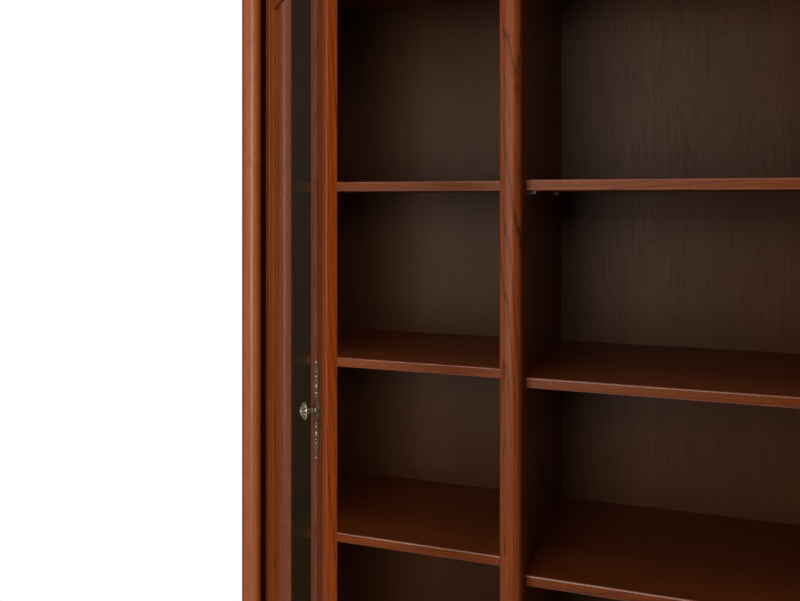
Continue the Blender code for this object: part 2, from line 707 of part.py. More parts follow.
def make_catch(hinge, divider, stile):
    """A magnet in a block on the divider, and the plate on the door that it holds."""
    top = CEILING - CATCH_DROP
    middle = top - CATCH_HEIGHT / 2
    strike_rear = DOOR_BACK + STRIKE_THICKNESS
    front = strike_rear + CATCH_GAP
    low = (-DIVIDER_FACE - CATCH_WIDTH, front, top - CATCH_HEIGHT)
    body = board("catch_body", low, (-DIVIDER_FACE, front + CATCH_DEPTH, top), catch_plastic)
    magnet_x = -DIVIDER_FACE - CATCH_WIDTH / 2
    low = (magnet_x - MAGNET_WIDTH / 2, front, middle - MAGNET_HEIGHT / 2)
    high = (magnet_x + MAGNET_WIDTH / 2, front + MAGNET_DEPTH, middle + MAGNET_HEIGHT / 2)
    board("catch_magnet", low, high, steel)
    pocket = box("magnet_pocket", low, high, ease=HALF_FIT)
    mouth_low = (low[0], low[1] - OVERCUT, low[2])
    mouth = box("magnet_mouth", mouth_low, (high[0], front + MAGNET_DEPTH / 2, high[2]), ease=HALF_FIT)
    join(pocket, mouth)
    cut(body, pocket)
    inward = facing(AWAY, -UP)
    screw_y = front + CATCH_DEPTH - CATCH_SCREW_INSET
    for i, z in ((1, top - CATCH_SCREW_INSET), (2, top - CATCH_HEIGHT + CATCH_SCREW_INSET)):
        floor = -DIVIDER_FACE - SMALL_SCREW_LENGTH / 2
        hole = small_screw(f"catch_screw_{i}", (floor, screw_y, z), inward)
        well = cylinder(
            f"catch_well_{i}", SMALL_SCREW_HEAD_RADIUS + FIT, 0, CATCH_WIDTH, (floor, screw_y, z), inward
        )
        cut(body, hole, well)
        cut(divider, hole)
    left = magnet_x - STRIKE_WIDTH / 2
    low = (left, DOOR_BACK, middle - STRIKE_HEIGHT / 2)
    high = (left + STRIKE_WIDTH, strike_rear + HALF_FIT, middle + STRIKE_HEIGHT / 2)
    strike = board("strike_plate", low, high, steel, hinge)
    hole = small_screw("strike_screw", (magnet_x, strike_rear, middle), facing(-RIGHT, UP), hinge)
    cut(strike, hole)
    cut(stile, hole)


clear_scene()
parts = new_collection("display_cabinet")
cutters = new_collection("cutters")

veneer = finish("chestnut veneer", (0.22, 0.075, 0.03), 0.35)
back_veneer = finish("back board veneer", (0.10, 0.045, 0.022), 0.5)
brass = finish("antique brass", (0.42, 0.31, 0.15), 0.35, metallic=1.0)
steel = finish("plated steel", (0.62, 0.62, 0.60), 0.3, metallic=1.0)
glass = finish("clear glass", (0.95, 0.97, 0.96), 0.02, transmission=1.0)
catch_plastic = finish("brown plastic", (0.09, 0.045, 0.025), 0.5)
glide_plastic = finish("dark plastic", (0.03, 0.025, 0.022), 0.5)

walls = make_posts_and_sides()
make_panels()
door_rails = make_face_rails()
make_shelves(walls)
make_plinth()
make_glides()
make_cornice()

door_hinge = bpy.data.objects.new("door_hinge", None)
parts.objects.link(door_hinge)
door_hinge.location = (HINGE_X, HINGE_Y, 0)
door_hinge.rotation_euler = (0, 0, -DOOR_OPEN)

door_frame = make_door_frame(door_hinge)
make_glazing(door_hinge)
make_hinges(door_hinge, door_rails, door_frame)
make_knob(door_hinge, door_frame["door_stile_free"])
make_catch(door_hinge, walls["centre"], door_frame["door_stile_free"])
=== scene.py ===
import json
import math
import random

import bmesh
import bpy
from mathutils import Matrix, Vector


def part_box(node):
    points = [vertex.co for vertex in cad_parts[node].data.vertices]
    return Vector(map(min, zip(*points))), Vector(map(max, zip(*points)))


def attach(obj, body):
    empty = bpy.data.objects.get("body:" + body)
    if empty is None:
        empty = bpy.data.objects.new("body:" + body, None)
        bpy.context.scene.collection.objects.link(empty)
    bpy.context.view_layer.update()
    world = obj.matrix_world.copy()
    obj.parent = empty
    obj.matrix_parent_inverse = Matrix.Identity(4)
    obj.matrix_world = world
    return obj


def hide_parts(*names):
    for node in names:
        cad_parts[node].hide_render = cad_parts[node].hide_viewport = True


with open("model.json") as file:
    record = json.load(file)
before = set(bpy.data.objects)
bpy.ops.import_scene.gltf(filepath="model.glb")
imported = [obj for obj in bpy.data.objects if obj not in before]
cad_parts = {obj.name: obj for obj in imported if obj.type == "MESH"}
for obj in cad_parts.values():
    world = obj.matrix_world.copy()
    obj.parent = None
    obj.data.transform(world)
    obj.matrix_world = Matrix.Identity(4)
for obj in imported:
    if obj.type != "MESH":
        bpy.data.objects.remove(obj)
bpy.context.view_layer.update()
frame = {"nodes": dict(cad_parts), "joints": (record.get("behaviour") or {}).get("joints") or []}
nodes = frame["nodes"]
scene = bpy.context.scene
right = Vector((1, 0, 0))
away = Vector((0, 1, 0))
up = Vector((0, 0, 1))
print("frame loaded:", len(nodes), "nodes")

# The door stands open at rest. Its pieces are drawn shut and then swung about the hinge.
hinge = frame["joints"][0]
hingeSpot = Matrix.Translation(hinge["pos_m"])
doorSwing = Matrix.Rotation(-math.radians(hinge["range_deg"][0]), 4, hinge["axis"])
openDoor = hingeSpot @ doorSwing @ hingeSpot.inverted()
shutDoor = openDoor.inverted()


def facing(localX, localY):
    return Matrix((localX, localY, localX.cross(localY))).transposed().to_4x4()


def put(bm, place):
    bmesh.ops.transform(bm, matrix=place, verts=bm.verts)


def faceOut(bm):
    bmesh.ops.recalc_face_normals(bm, faces=bm.faces)


# Camera, light and floor

cameraSetup = {
    "lens": 37.485,  # millimetres, on a sensor 36 wide
    "sensor": 36.0,
    "shiftY": -0.1258,
    "spot": (0.2801, -1.5078, 1.3789),
    "heading": 19.66,  # degrees to the left of straight ahead
}
warmLight = (1.0, 0.97, 0.84)
plainLight = (1.0, 1.0, 1.0)
rearLamp = {"size": (1.2, 1.6), "power": 34, "colour": plainLight}
lamps = {
    "keySoftbox": {
        "spot": (-0.60, -2.9, 1.25),
        "aim": (-0.25, 0.0, 1.05),
        "size": (1.0, 1.8),
        "power": 46,
        "colour": warmLight,
    },
    "fillSoftbox": {
        "spot": (0.25, -2.9, 2.05),
        "aim": (0.0, 0.0, 1.30),
        "size": (0.7, 0.7),
        "power": 17,
        "colour": warmLight,
    },
    "overheadSoftbox": {
        "spot": (-0.65, -1.3, 2.9),
        "aim": (-0.3, -0.1, 0.9),
        "size": (0.8, 0.8),
        "power": 6,
        "colour": plainLight,
    },
    "leftRearSoftbox": dict(rearLamp, spot=(-1.6, 2.8, 1.7), aim=(-0.2, 0.1, 0.9)),
    "rightRearSoftbox": dict(rearLamp, spot=(1.8, 2.6, 1.7), aim=(0.2, 0.1, 0.9)),
}
cards = {
    "leftCard": {"spot": (-1.0, 0.45, 1.3), "size": (1.7, 2.8), "along": (0.0, 1.0, 0.0)},
    "rightCard": {"spot": (1.5, -2.0, 1.3), "size": (3.0, 2.8), "along": (0.8, 0.6, 0.0)},
    "sideCard": {"spot": (2.4, 0.0, 1.3), "size": (2.4, 2.8), "along": (0.0, 1.0, 0.0)},
}
# the cards get darker towards the floor, between these two levels
cardShade = {
    "low": (0.022, 0.018, 0.0078),
    "high": (0.038, 0.0313, 0.0216),
    "levels": (0.24, 1.72),
}
studio = {
    "ambient": 0.07,
    "floorColour": (0.80, 0.79, 0.78),
    "floorRoughness": 0.6,
    "floorRadius": 1.25,
    "floorSegments": 96,
    "floorFadeStart": 0.70,
    "floorGlow": 0.35,  # share of plain white in the floor's colour near the object
}


def addCamera():
    lens = bpy.data.cameras.new("camera")
    lens.sensor_width = cameraSetup["sensor"]
    lens.lens = cameraSetup["lens"]
    lens.shift_y = cameraSetup["shiftY"]
    camera = bpy.data.objects.new("camera", lens)
    camera.location = cameraSetup["spot"]
    camera.rotation_euler = (math.pi / 2, 0, math.radians(cameraSetup["heading"]))
    scene.collection.objects.link(camera)
    scene.camera = camera


def addLamps():
    for name, setup in lamps.items():
        light = bpy.data.lights.new(name, "AREA")
        light.shape = "RECTANGLE"
        light.size, light.size_y = setup["size"]
        light.energy = setup["power"]
        light.color = setup["colour"]
        lamp = bpy.data.objects.new(name, light)
        lamp.location = setup["spot"]
        aim = Vector(setup["aim"]) - Vector(setup["spot"])
        lamp.rotation_euler = aim.to_track_quat("-Z", "Y").to_euler()
        scene.collection.objects.link(lamp)


# Shader maths

class Shade:
    # one socket of a node tree; arithmetic on it adds Math nodes
    def __init__(self, paint, socket):
        self.paint = paint
        self.socket = socket

    def out(self, name):
        return Shade(self.paint, self.socket.node.outputs[name])

    def maths(self, operation, *values):
        return self.paint.node("ShaderNodeMath", {"operation": operation}, dict(enumerate(values)))

    def __add__(self, other):
        return self.maths("ADD", self, other)

    def __radd__(self, other):
        return self.maths("ADD", other, self)

    def __sub__(self, other):
        return self.maths("SUBTRACT", self, other)

    def __rsub__(self, other):
        return self.maths("SUBTRACT", other, self)

    def __mul__(self, other):
        return self.maths("MULTIPLY", self, other)

    def __rmul__(self, other):
        return self.maths("MULTIPLY", other, self)

    def __truediv__(self, other):
        return self.maths("DIVIDE", self, other)

    def __rtruediv__(self, other):
        return self.maths("DIVIDE", other, self)

    def __pow__(self, other):
        return self.maths("POWER", self, other)

    def __rpow__(self, other):
        return self.maths("POWER", other, self)

    def larger(self, other):
        return self.maths("MAXIMUM", self, other)

    def fract(self):
        return self.maths("FRACT", self)

    def whole(self):
        return self.maths("FLOOR", self)

    def pingpong(self, length):
        return self.maths("PINGPONG", self, length)

    def smooth(self, low, high):
        limits = {"Value": self, "From Min": low, "From Max": high}
        return self.paint.node("ShaderNodeMapRange", {"interpolation_type": "SMOOTHSTEP"}, limits)


class Paint:
    def __init__(self, tree):
        self.tree = tree
        tree.nodes.clear()

    def node(self, kind, settings=None, inputs=None):
        made = self.tree.nodes.new(kind)
        for key, value in (settings or {}).items():
            setattr(made, key, value)
        for key, value in (inputs or {}).items():
            if isinstance(value, Shade):
                self.tree.links.new(value.socket, made.inputs[key])
            else:
                made.inputs[key].default_value = value
        return Shade(self, made.outputs[0] if made.outputs else None)

    def place(self, spot=(0, 0, 0), turn=(0, 0, 0)):
        coords = self.node("ShaderNodeTexCoord").out("Object")
        inputs = {"Vector": coords, "Location": spot, "Rotation": turn}
        return self.node("ShaderNodeMapping", {"vector_type": "TEXTURE"}, inputs)

    def axes(self, vector):
        parts = self.node("ShaderNodeSeparateXYZ", None, {0: vector})
        return [parts.out(name) for name in ("X", "Y", "Z")]

    def noise(self, vector, scales, detail=2.0, offset=(0, 0, 0)):
        inputs = {0: vector, 1: scales, 2: offset}
        spot = self.node("ShaderNodeVectorMath", {"operation": "MULTIPLY_ADD"}, inputs)
        return self.node("ShaderNodeTexNoise", None, {"Vector": spot, "Scale": 1.0, "Detail": detail})

    def noiseAlong(self, value):
        inputs = {"W": value, "Scale": 1.0, "Detail": 1.0}
        return self.node("ShaderNodeTexNoise", {"noise_dimensions": "1D"}, inputs)

    def blend(self, factor, first, second, mode="MIX"):
        # a Mix node has its colours on inputs 6 and 7 and on output 2
        colours = [c if isinstance(c, Shade) else (*c, 1.0) for c in (first, second)]
        settings = {"data_type": "RGBA", "blend_type": mode}
        return self.node("ShaderNodeMix", settings, {0: factor, 6: colours[0], 7: colours[1]}).out(2)

    def bump(self, height, strength, distance):
        inputs = {"Height": height, "Strength": strength, "Distance": distance}
        return self.node("ShaderNodeBump", None, inputs)

    def mix(self, factor, first, second):
        return self.node("ShaderNodeMixShader", None, {0: factor, 1: first, 2: second})

    def glow(self, colour):
        return self.node("ShaderNodeEmission", None, {"Color": colour, "Strength": 1.0})

    def output(self, shader):
        self.node("ShaderNodeOutputMaterial", None, {"Surface": shader})

    def surface(self, inputs):
        colour = inputs["Base Color"]
        if not isinstance(colour, Shade):
            inputs["Base Color"] = (*colour, 1.0)
        self.output(self.node("ShaderNodeBsdfPrincipled", None, inputs))


def newPaint(name):
    material = bpy.data.materials.new(name)
    material.use_nodes = True
    return material, Paint(material.node_tree)


def seenDirectly(paint):
    # 1 for what the camera sees, by itself, in a reflection or through glass; 0 for light on the object
    path = paint.node("ShaderNodeLightPath")
    seen = path.out("Is Camera Ray").larger(path.out("Is Glossy Ray"))
    return seen.larger(path.out("Is Transmission Ray"))


def addWorld():
    world = bpy.data.worlds.new("studio")
    world.use_nodes = True
    scene.world = world
    paint = Paint(world.node_tree)
    plain = {"Color": (*plainLight, 1.0)}
    ambient = paint.node("ShaderNodeBackground", None, {**plain, "Strength": studio["ambient"]})
    white = paint.node("ShaderNodeBackground", None, {**plain, "Strength": 1.0})
    both = paint.mix(seenDirectly(paint), ambient, white)
    paint.node("ShaderNodeOutputWorld", None, {"Surface": both})


def meshObject(name, bm, material):
    mesh = bpy.data.meshes.new(name)
    bm.to_mesh(mesh)
    bm.free()
    mesh.materials.append(material)
    thing = bpy.data.objects.new(name, mesh)
    scene.collection.objects.link(thing)
    return thing


def addFloor():
    # pale, with the object's shadow, and fading to the white of the background at its rim
    material, paint = newPaint("paleFloor")
    spot = paint.place()
    apart = paint.node("ShaderNodeVectorMath", {"operation": "LENGTH"}, {0: spot}).out("Value")
    glow = studio["floorGlow"]
    fade = glow + apart.smooth(studio["floorFadeStart"], studio["floorRadius"]) * (1 - glow)
    fade = fade * seenDirectly(paint)
    finish = {"Base Color": (*studio["floorColour"], 1), "Roughness": studio["floorRoughness"]}
    pale = paint.node("ShaderNodeBsdfPrincipled", None, finish)
    paint.output(paint.mix(fade, pale, paint.glow((*plainLight, 1.0))))
    bm = bmesh.new()
    bmesh.ops.create_circle(
        bm, cap_ends=True, segments=studio["floorSegments"], radius=studio["floorRadius"]
    )
    floor = meshObject("floor", bm, material)


def addCards():
    # dark cards beside the object, which only reflections see; a look through the glass passes them by
    material, paint = newPaint("darkCard")
    depth = paint.node("ShaderNodeLightPath").out("Glossy Depth")
    mirrored = depth.maths("GREATER_THAN", depth, 0.5)
    level = paint.axes(paint.place())[2]
    shade = paint.blend(level.smooth(*cardShade["levels"]), cardShade["low"], cardShade["high"])
    clear = paint.node("ShaderNodeBsdfTransparent")
    paint.output(paint.mix(mirrored, clear, paint.glow(shade)))
    for name, setup in cards.items():
        bm = bmesh.new()
        bmesh.ops.create_grid(bm, x_segments=1, y_segments=1, size=0.5)
        bmesh.ops.scale(bm, vec=(*setup["size"], 1), verts=bm.verts)
        put(bm, Matrix.Translation(setup["spot"]) @ facing(Vector(setup["along"]), up))
        card = meshObject(name, bm, material)
        card.visible_camera = False
        card.visible_diffuse = False
        card.visible_shadow = False


scene.view_settings.view_transform = "Standard"
addCamera()
addLamps()
addWorld()
addFloor()
addCards()
print("camera, lamps and floor placed")


# Finishes

veneerLook = {
    "pale": (0.262, 0.056, 0.0115),
    "ground": (0.208, 0.042, 0.0080),
    "deep": (0.145, 0.027, 0.0050),
    "latewood": (0.046, 0.0078, 0.0019),
    "lineDepth": 0.85,
    "ringPitch": 0.0052,
    "leafWidth": 0.165,  # width of one leaf of veneer
    "roughness": 0.34,
    "specular": 0.16,
    "bump": 0.12,
}
glossyLook = dict(veneerLook, specular=0.40)
postLook = dict(veneerLook, specular=0.11)
doorLook = dict(veneerLook, specular=0.09)
innerLook = dict(veneerLook, specular=0.5, roughness=0.32)
backLook = dict(
    veneerLook,
    pale=(0.051, 0.0150, 0.0026),
    ground=(0.041, 0.0118, 0.0020),
    deep=(0.030, 0.0083, 0.0013),
    latewood=(0.018, 0.0048, 0.0008),
    lineDepth=0.4,
    roughness=0.44,
    specular=0.13,
)
# where the pith may lie behind the face, in metres, and how much it may lean
pithRanges = {"across": (-0.012, 0.012), "depth": (0.014, 0.036), "lean": (0.045, 0.085)}
# the stem's own bends: how often in a metre, and how far they move the pith
stemBend = {"scale": 2.1, "across": 0.022, "depth": 0.010}
# what moves the rings: how often in a metre across the grain, into the wood and along it, and how far
ringShifts = {"wobble": ((34, 34, 4.5), 0.005), "ragged": ((330, 330, 70), 0.0016)}
# the dark line at the end of a ring and the shadow before it
ringLine = {
    "rise": (0.66, 0.95),  # shares of the way through the ring
    "fall": (0.95, 1.0),
    "step": 3.7,  # from ring to ring in the noise that sets their strength
    "strength": (0.30, 0.58),  # levels of that noise, for the line and for the shadow
    "shadow": (0.35, 0.75),
    "broken": 0.35,  # share of a line that is left where it breaks
}
# patterns on the face: how often in a metre, detail, and the levels of noise where they start and end
grainPatterns = {
    "dash": ((420, 420, 38), 2.0, (0.36, 0.60)),
    "streak": ((120, 120, 2.4), 3.0, (0.3, 0.72)),
    "fibre": ((800, 800, 16), 2.0, (0.35, 0.7)),
    "pore": ((1500, 1500, 40), 1.0, (0.58, 0.72)),
}
# how much each of them darkens the wood, dulls its lacquer and dents its face
darkening = {"fibre": 0.45, "shadow": 0.25, "pore": 0.35}
dulling = {"fibre": 0.06, "pore": 0.10}
denting = {"pore": 0.6, "line": 0.3, "fibre": 0.15}
grainDepth = 0.0004
grainDraws = random.Random(5)


def turnTo(along, depth):
    # the turn whose local Z runs along the grain and local Y runs into the wood
    return Matrix((depth.cross(along), depth, along)).transposed().to_euler()


def wood(name, middle, along, depth, look=veneerLook, tone=1.0, figure=1.0, tints=None):
    # plain sawn timber: the pith lies behind the face and leans, so its rings cut the face in arches;
    # the last argument gives a strength of the colour, and steps across the grain to other strengths,
    # as painted highlight, sheen and shade
    material, paint = newPaint(name)
    pithAcross = grainDraws.uniform(*pithRanges["across"])
    pithDepth = grainDraws.uniform(*pithRanges["depth"])
    lean = grainDraws.choice((-1, 1)) * grainDraws.uniform(*pithRanges["lean"])
    seed = grainDraws.uniform(0, 50)
    apart = (seed, 2 * seed, 3 * seed)
    local = paint.place(middle, turnTo(along, depth))
    x, y, z = paint.axes(local)

    def shift(feature):
        scales, reach = ringShifts[feature]
        return (paint.noise(local, scales, offset=apart) - 0.5) * reach

    def pattern(feature):
        scales, detail, levels = grainPatterns[feature]
        return paint.noise(local, scales, detail, apart).smooth(*levels)

    # distance from the pith, counted in rings
    half = look["leafWidth"] / 2
    leaf = (x + half).pingpong(look["leafWidth"]) - half
    bend = paint.noiseAlong(z * stemBend["scale"] + seed) - 0.5
    off = leaf + bend * stemBend["across"] - pithAcross
    behind = y + z * lean + bend * stemBend["depth"] + pithDepth
    spread = (off * off + behind * behind) ** 0.5
    ring = (spread + shift("wobble") + shift("ragged")) / look["ringPitch"]
    phase = ring.fract()
    # a broken dark line at the end of a ring, stronger in some rings than in others
    vary = paint.noiseAlong(ring.whole() * ringLine["step"] + seed)
    line = phase.smooth(*ringLine["rise"]) * (1 - phase.smooth(*ringLine["fall"]))
    line = line * vary.smooth(*ringLine["strength"])
    line = line * (ringLine["broken"] + pattern("dash") * (1 - ringLine["broken"]))
    shadow = phase * vary.smooth(*ringLine["shadow"])
    streak = pattern("streak")
    fibre = pattern("fibre")
    pore = pattern("pore")
    shades = {k: tuple(c * tone for c in look[k]) for k in ("pale", "ground", "deep", "latewood")}
    colour = paint.blend(streak, shades["pale"], shades["ground"])
    dark = fibre * darkening["fibre"] + shadow * darkening["shadow"] * figure
    colour = paint.blend(dark, colour, shades["deep"])
    colour = paint.blend(line * look["lineDepth"] * figure, colour, shades["latewood"])
    colour = paint.blend(pore * darkening["pore"], colour, shades["latewood"])
    # painted highlight, sheen and shade across the grain, multiplied into the colour
    if tints:
        strength, *steps = tints
        for start, end, level in steps:
            strength = paint.blend(x.smooth(start, end), strength, level)
        colour = paint.blend(1.0, colour, strength, "MULTIPLY")
    height = 1 - pore * denting["pore"] - line * denting["line"] - fibre * denting["fibre"]
    paint.surface({
        "Base Color": colour,
        "Roughness": look["roughness"] + fibre * dulling["fibre"] + pore * dulling["pore"],
        "Specular IOR Level": look["specular"],
        "Normal": paint.bump(height, look["bump"], grainDepth),
    })
    return material


metalGrain = {
    "clouds": (260, 260, 260),  # how often the tarnish and the scratches repeat in a metre
    "cloudDetail": 4.0,
    "cloudLevels": (0.35, 0.7),
    "scratches": (1800, 1800, 300),
    "scratchDepth": 0.0002,
    "tarnishRoughness": 0.16,
}
plasticGrain = {
    "grains": (900, 900, 900),
    "detail": 3.0,
    "roughness": 0.42,
    "grainRoughness": 0.14,
    "bump": 0.2,
    "depth": 0.0002,
}


def metal(name, colour, tarnish, roughness, scratch):
    material, paint = newPaint(name)
    spot = paint.place()
    cloud = paint.noise(spot, metalGrain["clouds"], metalGrain["cloudDetail"])
    cloud = cloud.smooth(*metalGrain["cloudLevels"])
    fine = paint.noise(spot, metalGrain["scratches"])
    paint.surface({
        "Base Color": paint.blend(cloud, colour, tarnish),
        "Metallic": 1.0,
        "Roughness": roughness + cloud * metalGrain["tarnishRoughness"],
        "Normal": paint.bump(fine, scratch, metalGrain["scratchDepth"]),
    })
    return material


def plastic(name, colour, paleColour):
    material, paint = newPaint(name)
    grain = paint.noise(paint.place(), plasticGrain["grains"], plasticGrain["detail"])
    paint.surface({
        "Base Color": paint.blend(grain, colour, paleColour),
        "Roughness": plasticGrain["roughness"] + grain * plasticGrain["grainRoughness"],
        "Normal": paint.bump(grain, plasticGrain["bump"], plasticGrain["depth"]),
    })
    return material


def glass(name):
    material, paint = newPaint(name)
    paint.surface({
        "Base Color": (0.93, 0.96, 0.945),
        "Roughness": 0.0,
        "IOR": 1.5,
        "Transmission Weight": 1.0,
    })
    return material


rawBoardLook = {
    "ground": (0.17, 0.095, 0.050),
    "fleck": (0.115, 0.060, 0.030),
    "pale": (0.21, 0.125, 0.070),
    "meshPitch": 700,  # threads in a metre of the mesh that the board was pressed on
    "flecks": (420, 420, 180),
    "fleckDetail": 4.0,
    "fleckLevels": (0.35, 0.75),
    "fleckHeight": 0.4,  # as a share of the mesh's own
    "clouds": (6, 6, 6),
    "cloudDetail": 3.0,
    "cloudShare": 0.5,
    "roughness": 0.78,
    "bump": 0.35,
    "depth": 0.0003,
}


def hardboard(name):
    # the raw rear face of a back panel, pressed on a mesh
    look = rawBoardLook
    material, paint = newPaint(name)
    spot = paint.place()
    x, _, z = paint.axes(spot)
    weave = (x * look["meshPitch"]).pingpong(1.0) * (z * look["meshPitch"]).pingpong(1.0)
    fleck = paint.noise(spot, look["flecks"], look["fleckDetail"]).smooth(*look["fleckLevels"])
    cloud = paint.noise(spot, look["clouds"], look["cloudDetail"])
    colour = paint.blend(fleck, look["ground"], look["fleck"])
    colour = paint.blend(cloud * look["cloudShare"], colour, look["pale"])
    paint.surface({
        "Base Color": colour,
        "Roughness": look["roughness"],
        "Normal": paint.bump(weave + fleck * look["fleckHeight"], look["bump"], look["depth"]),
    })
    return material


brassLook = {
    "bright": (0.27, 0.222, 0.140),
    "dull": (0.115, 0.088, 0.050),
    "patina": (0.015, 0.010, 0.005),
    "roughness": 0.27,
    "scratch": 0.10,
    "clouds": (420, 420, 420),
    "cloudDetail": 4.0,
    "cloudLevels": (0.38, 0.68),
    "cloudShare": 0.7,
    "cloudRoughness": 0.12,
    "scratches": (2600, 2600, 2600),
    "scratchDepth": 0.0002,
    "patinaThin": 0.7,  # share of the patina that is left where it has worn thin
    "patinaRoughness": 0.25,
    "patinaSink": 0.5,
    "patinaSpecular": 0.1,
    "bump": 0.12,
}


def agedBrass(name, place, recess):
    # recess takes the local X, Y and Z, and gives 1 where patina has stayed
    look = brassLook
    material, paint = newPaint(name)
    local = paint.place(place.to_translation(), place.to_euler())
    cloud = paint.noise(local, look["clouds"], look["cloudDetail"]).smooth(*look["cloudLevels"])
    fine = paint.noise(local, look["scratches"])
    stain = recess(*paint.axes(local)) * (look["patinaThin"] + cloud * (1 - look["patinaThin"]))
    colour = paint.blend(cloud * look["cloudShare"], look["bright"], look["dull"])
    colour = paint.blend(stain, colour, look["patina"])
    height = fine - stain * look["patinaSink"]
    dull = cloud * look["cloudRoughness"] + stain * look["patinaRoughness"]
    paint.surface({
        "Base Color": colour,
        "Metallic": 1 - stain,
        "Specular IOR Level": look["patinaSpecular"],
        "Roughness": look["roughness"] + dull,
        "Normal": paint.bump(height, look["bump"], look["scratchDepth"]),
    })
    return material


brass = metal("antiqueBrass", *[brassLook[k] for k in ("bright", "dull", "roughness", "scratch")])
steel = metal("platedSteel", (0.66, 0.65, 0.62), (0.48, 0.47, 0.45), roughness=0.24, scratch=0.08)
dullSteel = metal("dullSteel", (0.30, 0.28, 0.25), (0.17, 0.155, 0.135), roughness=0.40, scratch=0.08)
brownPlastic = plastic("brownPlastic", (0.075, 0.036, 0.018), (0.105, 0.052, 0.028))
darkPlastic = plastic("darkPlastic", (0.022, 0.019, 0.017), (0.040, 0.036, 0.032))
clearGlass = glass("clearGlass")
rawBoard = hardboard("rawHardboard")
print("finishes made")


# Shapes

mergeGap = 1e-6  # points closer than this count as one
sharpAngle = math.radians(50)
flatAngle = math.radians(1)


def soften(bm, edges, radius, segments):
    bmesh.ops.bevel(
        bm, geom=list(edges), offset=radius, segments=segments, profile=0.5, affect="EDGES", material=-1
    )


def easeEdges(bm, radius, segments=2):
    sharp = [e for e in bm.edges if e.is_manifold and e.calc_face_angle() > sharpAngle]
    soften(bm, sharp, radius, segments)


def block(low, high):
    bm = bmesh.new()
    bmesh.ops.create_cube(bm, size=1.0)
    bmesh.ops.scale(bm, vec=high - low, verts=bm.verts)
    bmesh.ops.translate(bm, vec=(low + high) / 2, verts=bm.verts)
    return bm


def edgesAt(bm, *faces):
    # edges whose two ends lie on each of the faces, given as (axis, level)
    found = []
    for edge in bm.edges:
        ends = [v.co for v in edge.verts]
        if all(abs(end[axis] - level) < mergeGap for axis, level in faces for end in ends):
            found.append(edge)
    return found


def edgePair(bm, face, axis, levels):
    # the edges of a face at two levels of another axis
    return edgesAt(bm, face, (axis, levels[0])) + edgesAt(bm, face, (axis, levels[1]))


def cutOff(bm, spot, outward):
    # what lies past a plane goes, and the cut is closed
    everything = bm.verts[:] + bm.edges[:] + bm.faces[:]
    bmesh.ops.bisect_plane(bm, geom=everything, plane_co=spot, plane_no=outward, clear_outer=True)
    bmesh.ops.holes_fill(bm, edges=[e for e in bm.edges if e.is_boundary])


def turnedShape(profile, steps):
    bm = bmesh.new()
    spots = [bm.verts.new((radius, 0, level)) for radius, level in profile]
    lines = [bm.edges.new(pair) for pair in zip(spots, spots[1:])]
    bmesh.ops.spin(
        bm, geom=spots + lines, cent=(0, 0, 0), axis=up, angle=2 * math.pi, steps=steps, use_merge=True
    )
    bmesh.ops.remove_doubles(bm, verts=bm.verts, dist=mergeGap)
    faceOut(bm)
    return bm


def arc(centre, radii, start, end, steps):
    angles = [math.radians(start + (end - start) * i / steps) for i in range(steps + 1)]
    return [(centre[0] + radii[0] * math.cos(a), centre[1] + radii[1] * math.sin(a)) for a in angles]


def member(section, length, leans, gap):
    # a moulding along local Z, each end cut to a mitre that leans with the section's X
    bm = bmesh.new()
    reach = 2 * max(abs(x) for x, y in section)
    start = -length / 2 - reach
    face = bm.faces.new([bm.verts.new((x, y, start)) for x, y in section])
    grown = bmesh.ops.extrude_face_region(bm, geom=[face])["geom"]
    ends = [item for item in grown if isinstance(item, bmesh.types.BMVert)]
    bmesh.ops.translate(bm, vec=(0, 0, length + 2 * reach), verts=ends)
    for side, lean in zip((-1, 1), leans):
        level = side * (length / 2 - gap * math.hypot(1, lean))
        cutOff(bm, (0, 0, level), (-lean, 0, side))
    faceOut(bm)
    return bm


def gather(bm, extra):
    spare = bpy.data.meshes.new("spare")
    extra.to_mesh(spare)
    extra.free()
    bm.from_mesh(spare)
    bpy.data.meshes.remove(spare)


def addPiece(name, bm, body, look, stoodFor=(), sharp=35):
    if body == "door":
        put(bm, openDoor)
    piece = meshObject(name, bm, look)
    piece.data.shade_smooth()
    piece.data.set_sharp_from_angle(angle=math.radians(sharp))
    piece.modifiers.new("flat faces stay flat", "WEIGHTED_NORMAL").keep_sharp = True
    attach(piece, body)
    if stoodFor:
        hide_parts(*stoodFor)
    return piece


def boxOf(spots):
    low = Vector(min(spot[i] for spot in spots) for i in range(3))
    high = Vector(max(spot[i] for spot in spots) for i in range(3))
    return low, high


def middleOf(bm):
    low, high = boxOf([v.co for v in bm.verts])
    return (low + high) / 2


def addWood(name, bm, along, depth, stoodFor, body="carcass", slot="chestnut_veneer", **grain):
    middle = middleOf(bm)
    if body == "door":
        middle = openDoor @ middle
        along = doorSwing.to_3x3() @ along
        depth = doorSwing.to_3x3() @ depth
    finish = wood(name + "Grain", middle, along, depth, **grain)
    return addPiece(name, bm, body, finish, stoodFor)


def camel(node):
    first, *others = node.split("_")
    return first + "".join(word.title() for word in others)


def shutBox(node):
    return boxOf([shutDoor @ v.co for v in nodes[node].data.vertices])


# Posts, boards and rails of the case

case = {
    "postRound": 0.014,
    "postSegments": 14,
    "postEaseSegments": 3,
    "edgeEase": 0.0007,
    "fit": 0.0003,
    "railRound": 0.003,
    "railSegments": 6,
    "capRound": 0.008,
    "capSegments": 8,
}
# the left and centre posts have a painted sheen towards one edge, where their colour is paler and
# greyer
posts = {
    "left": {
        "look": glossyLook,
        "tone": 1.33,
        "figure": 0.35,
        "tints": ((1.0, 1.0, 0.95), (0.000, 0.008, (1.08, 1.3, 1.6)), (0.009, 0.015, (1.3, 1.5, 2.0))),
    },
    "centre": {
        "look": postLook,
        "tone": 1.02,
        "figure": 1.0,
        "tints": ((1.16, 1.5, 2.6), (-0.0145, -0.0065, (0.92, 0.96, 1.0))),
    },
    "right": {"look": veneerLook, "tone": 1.0, "figure": 0.8},
}
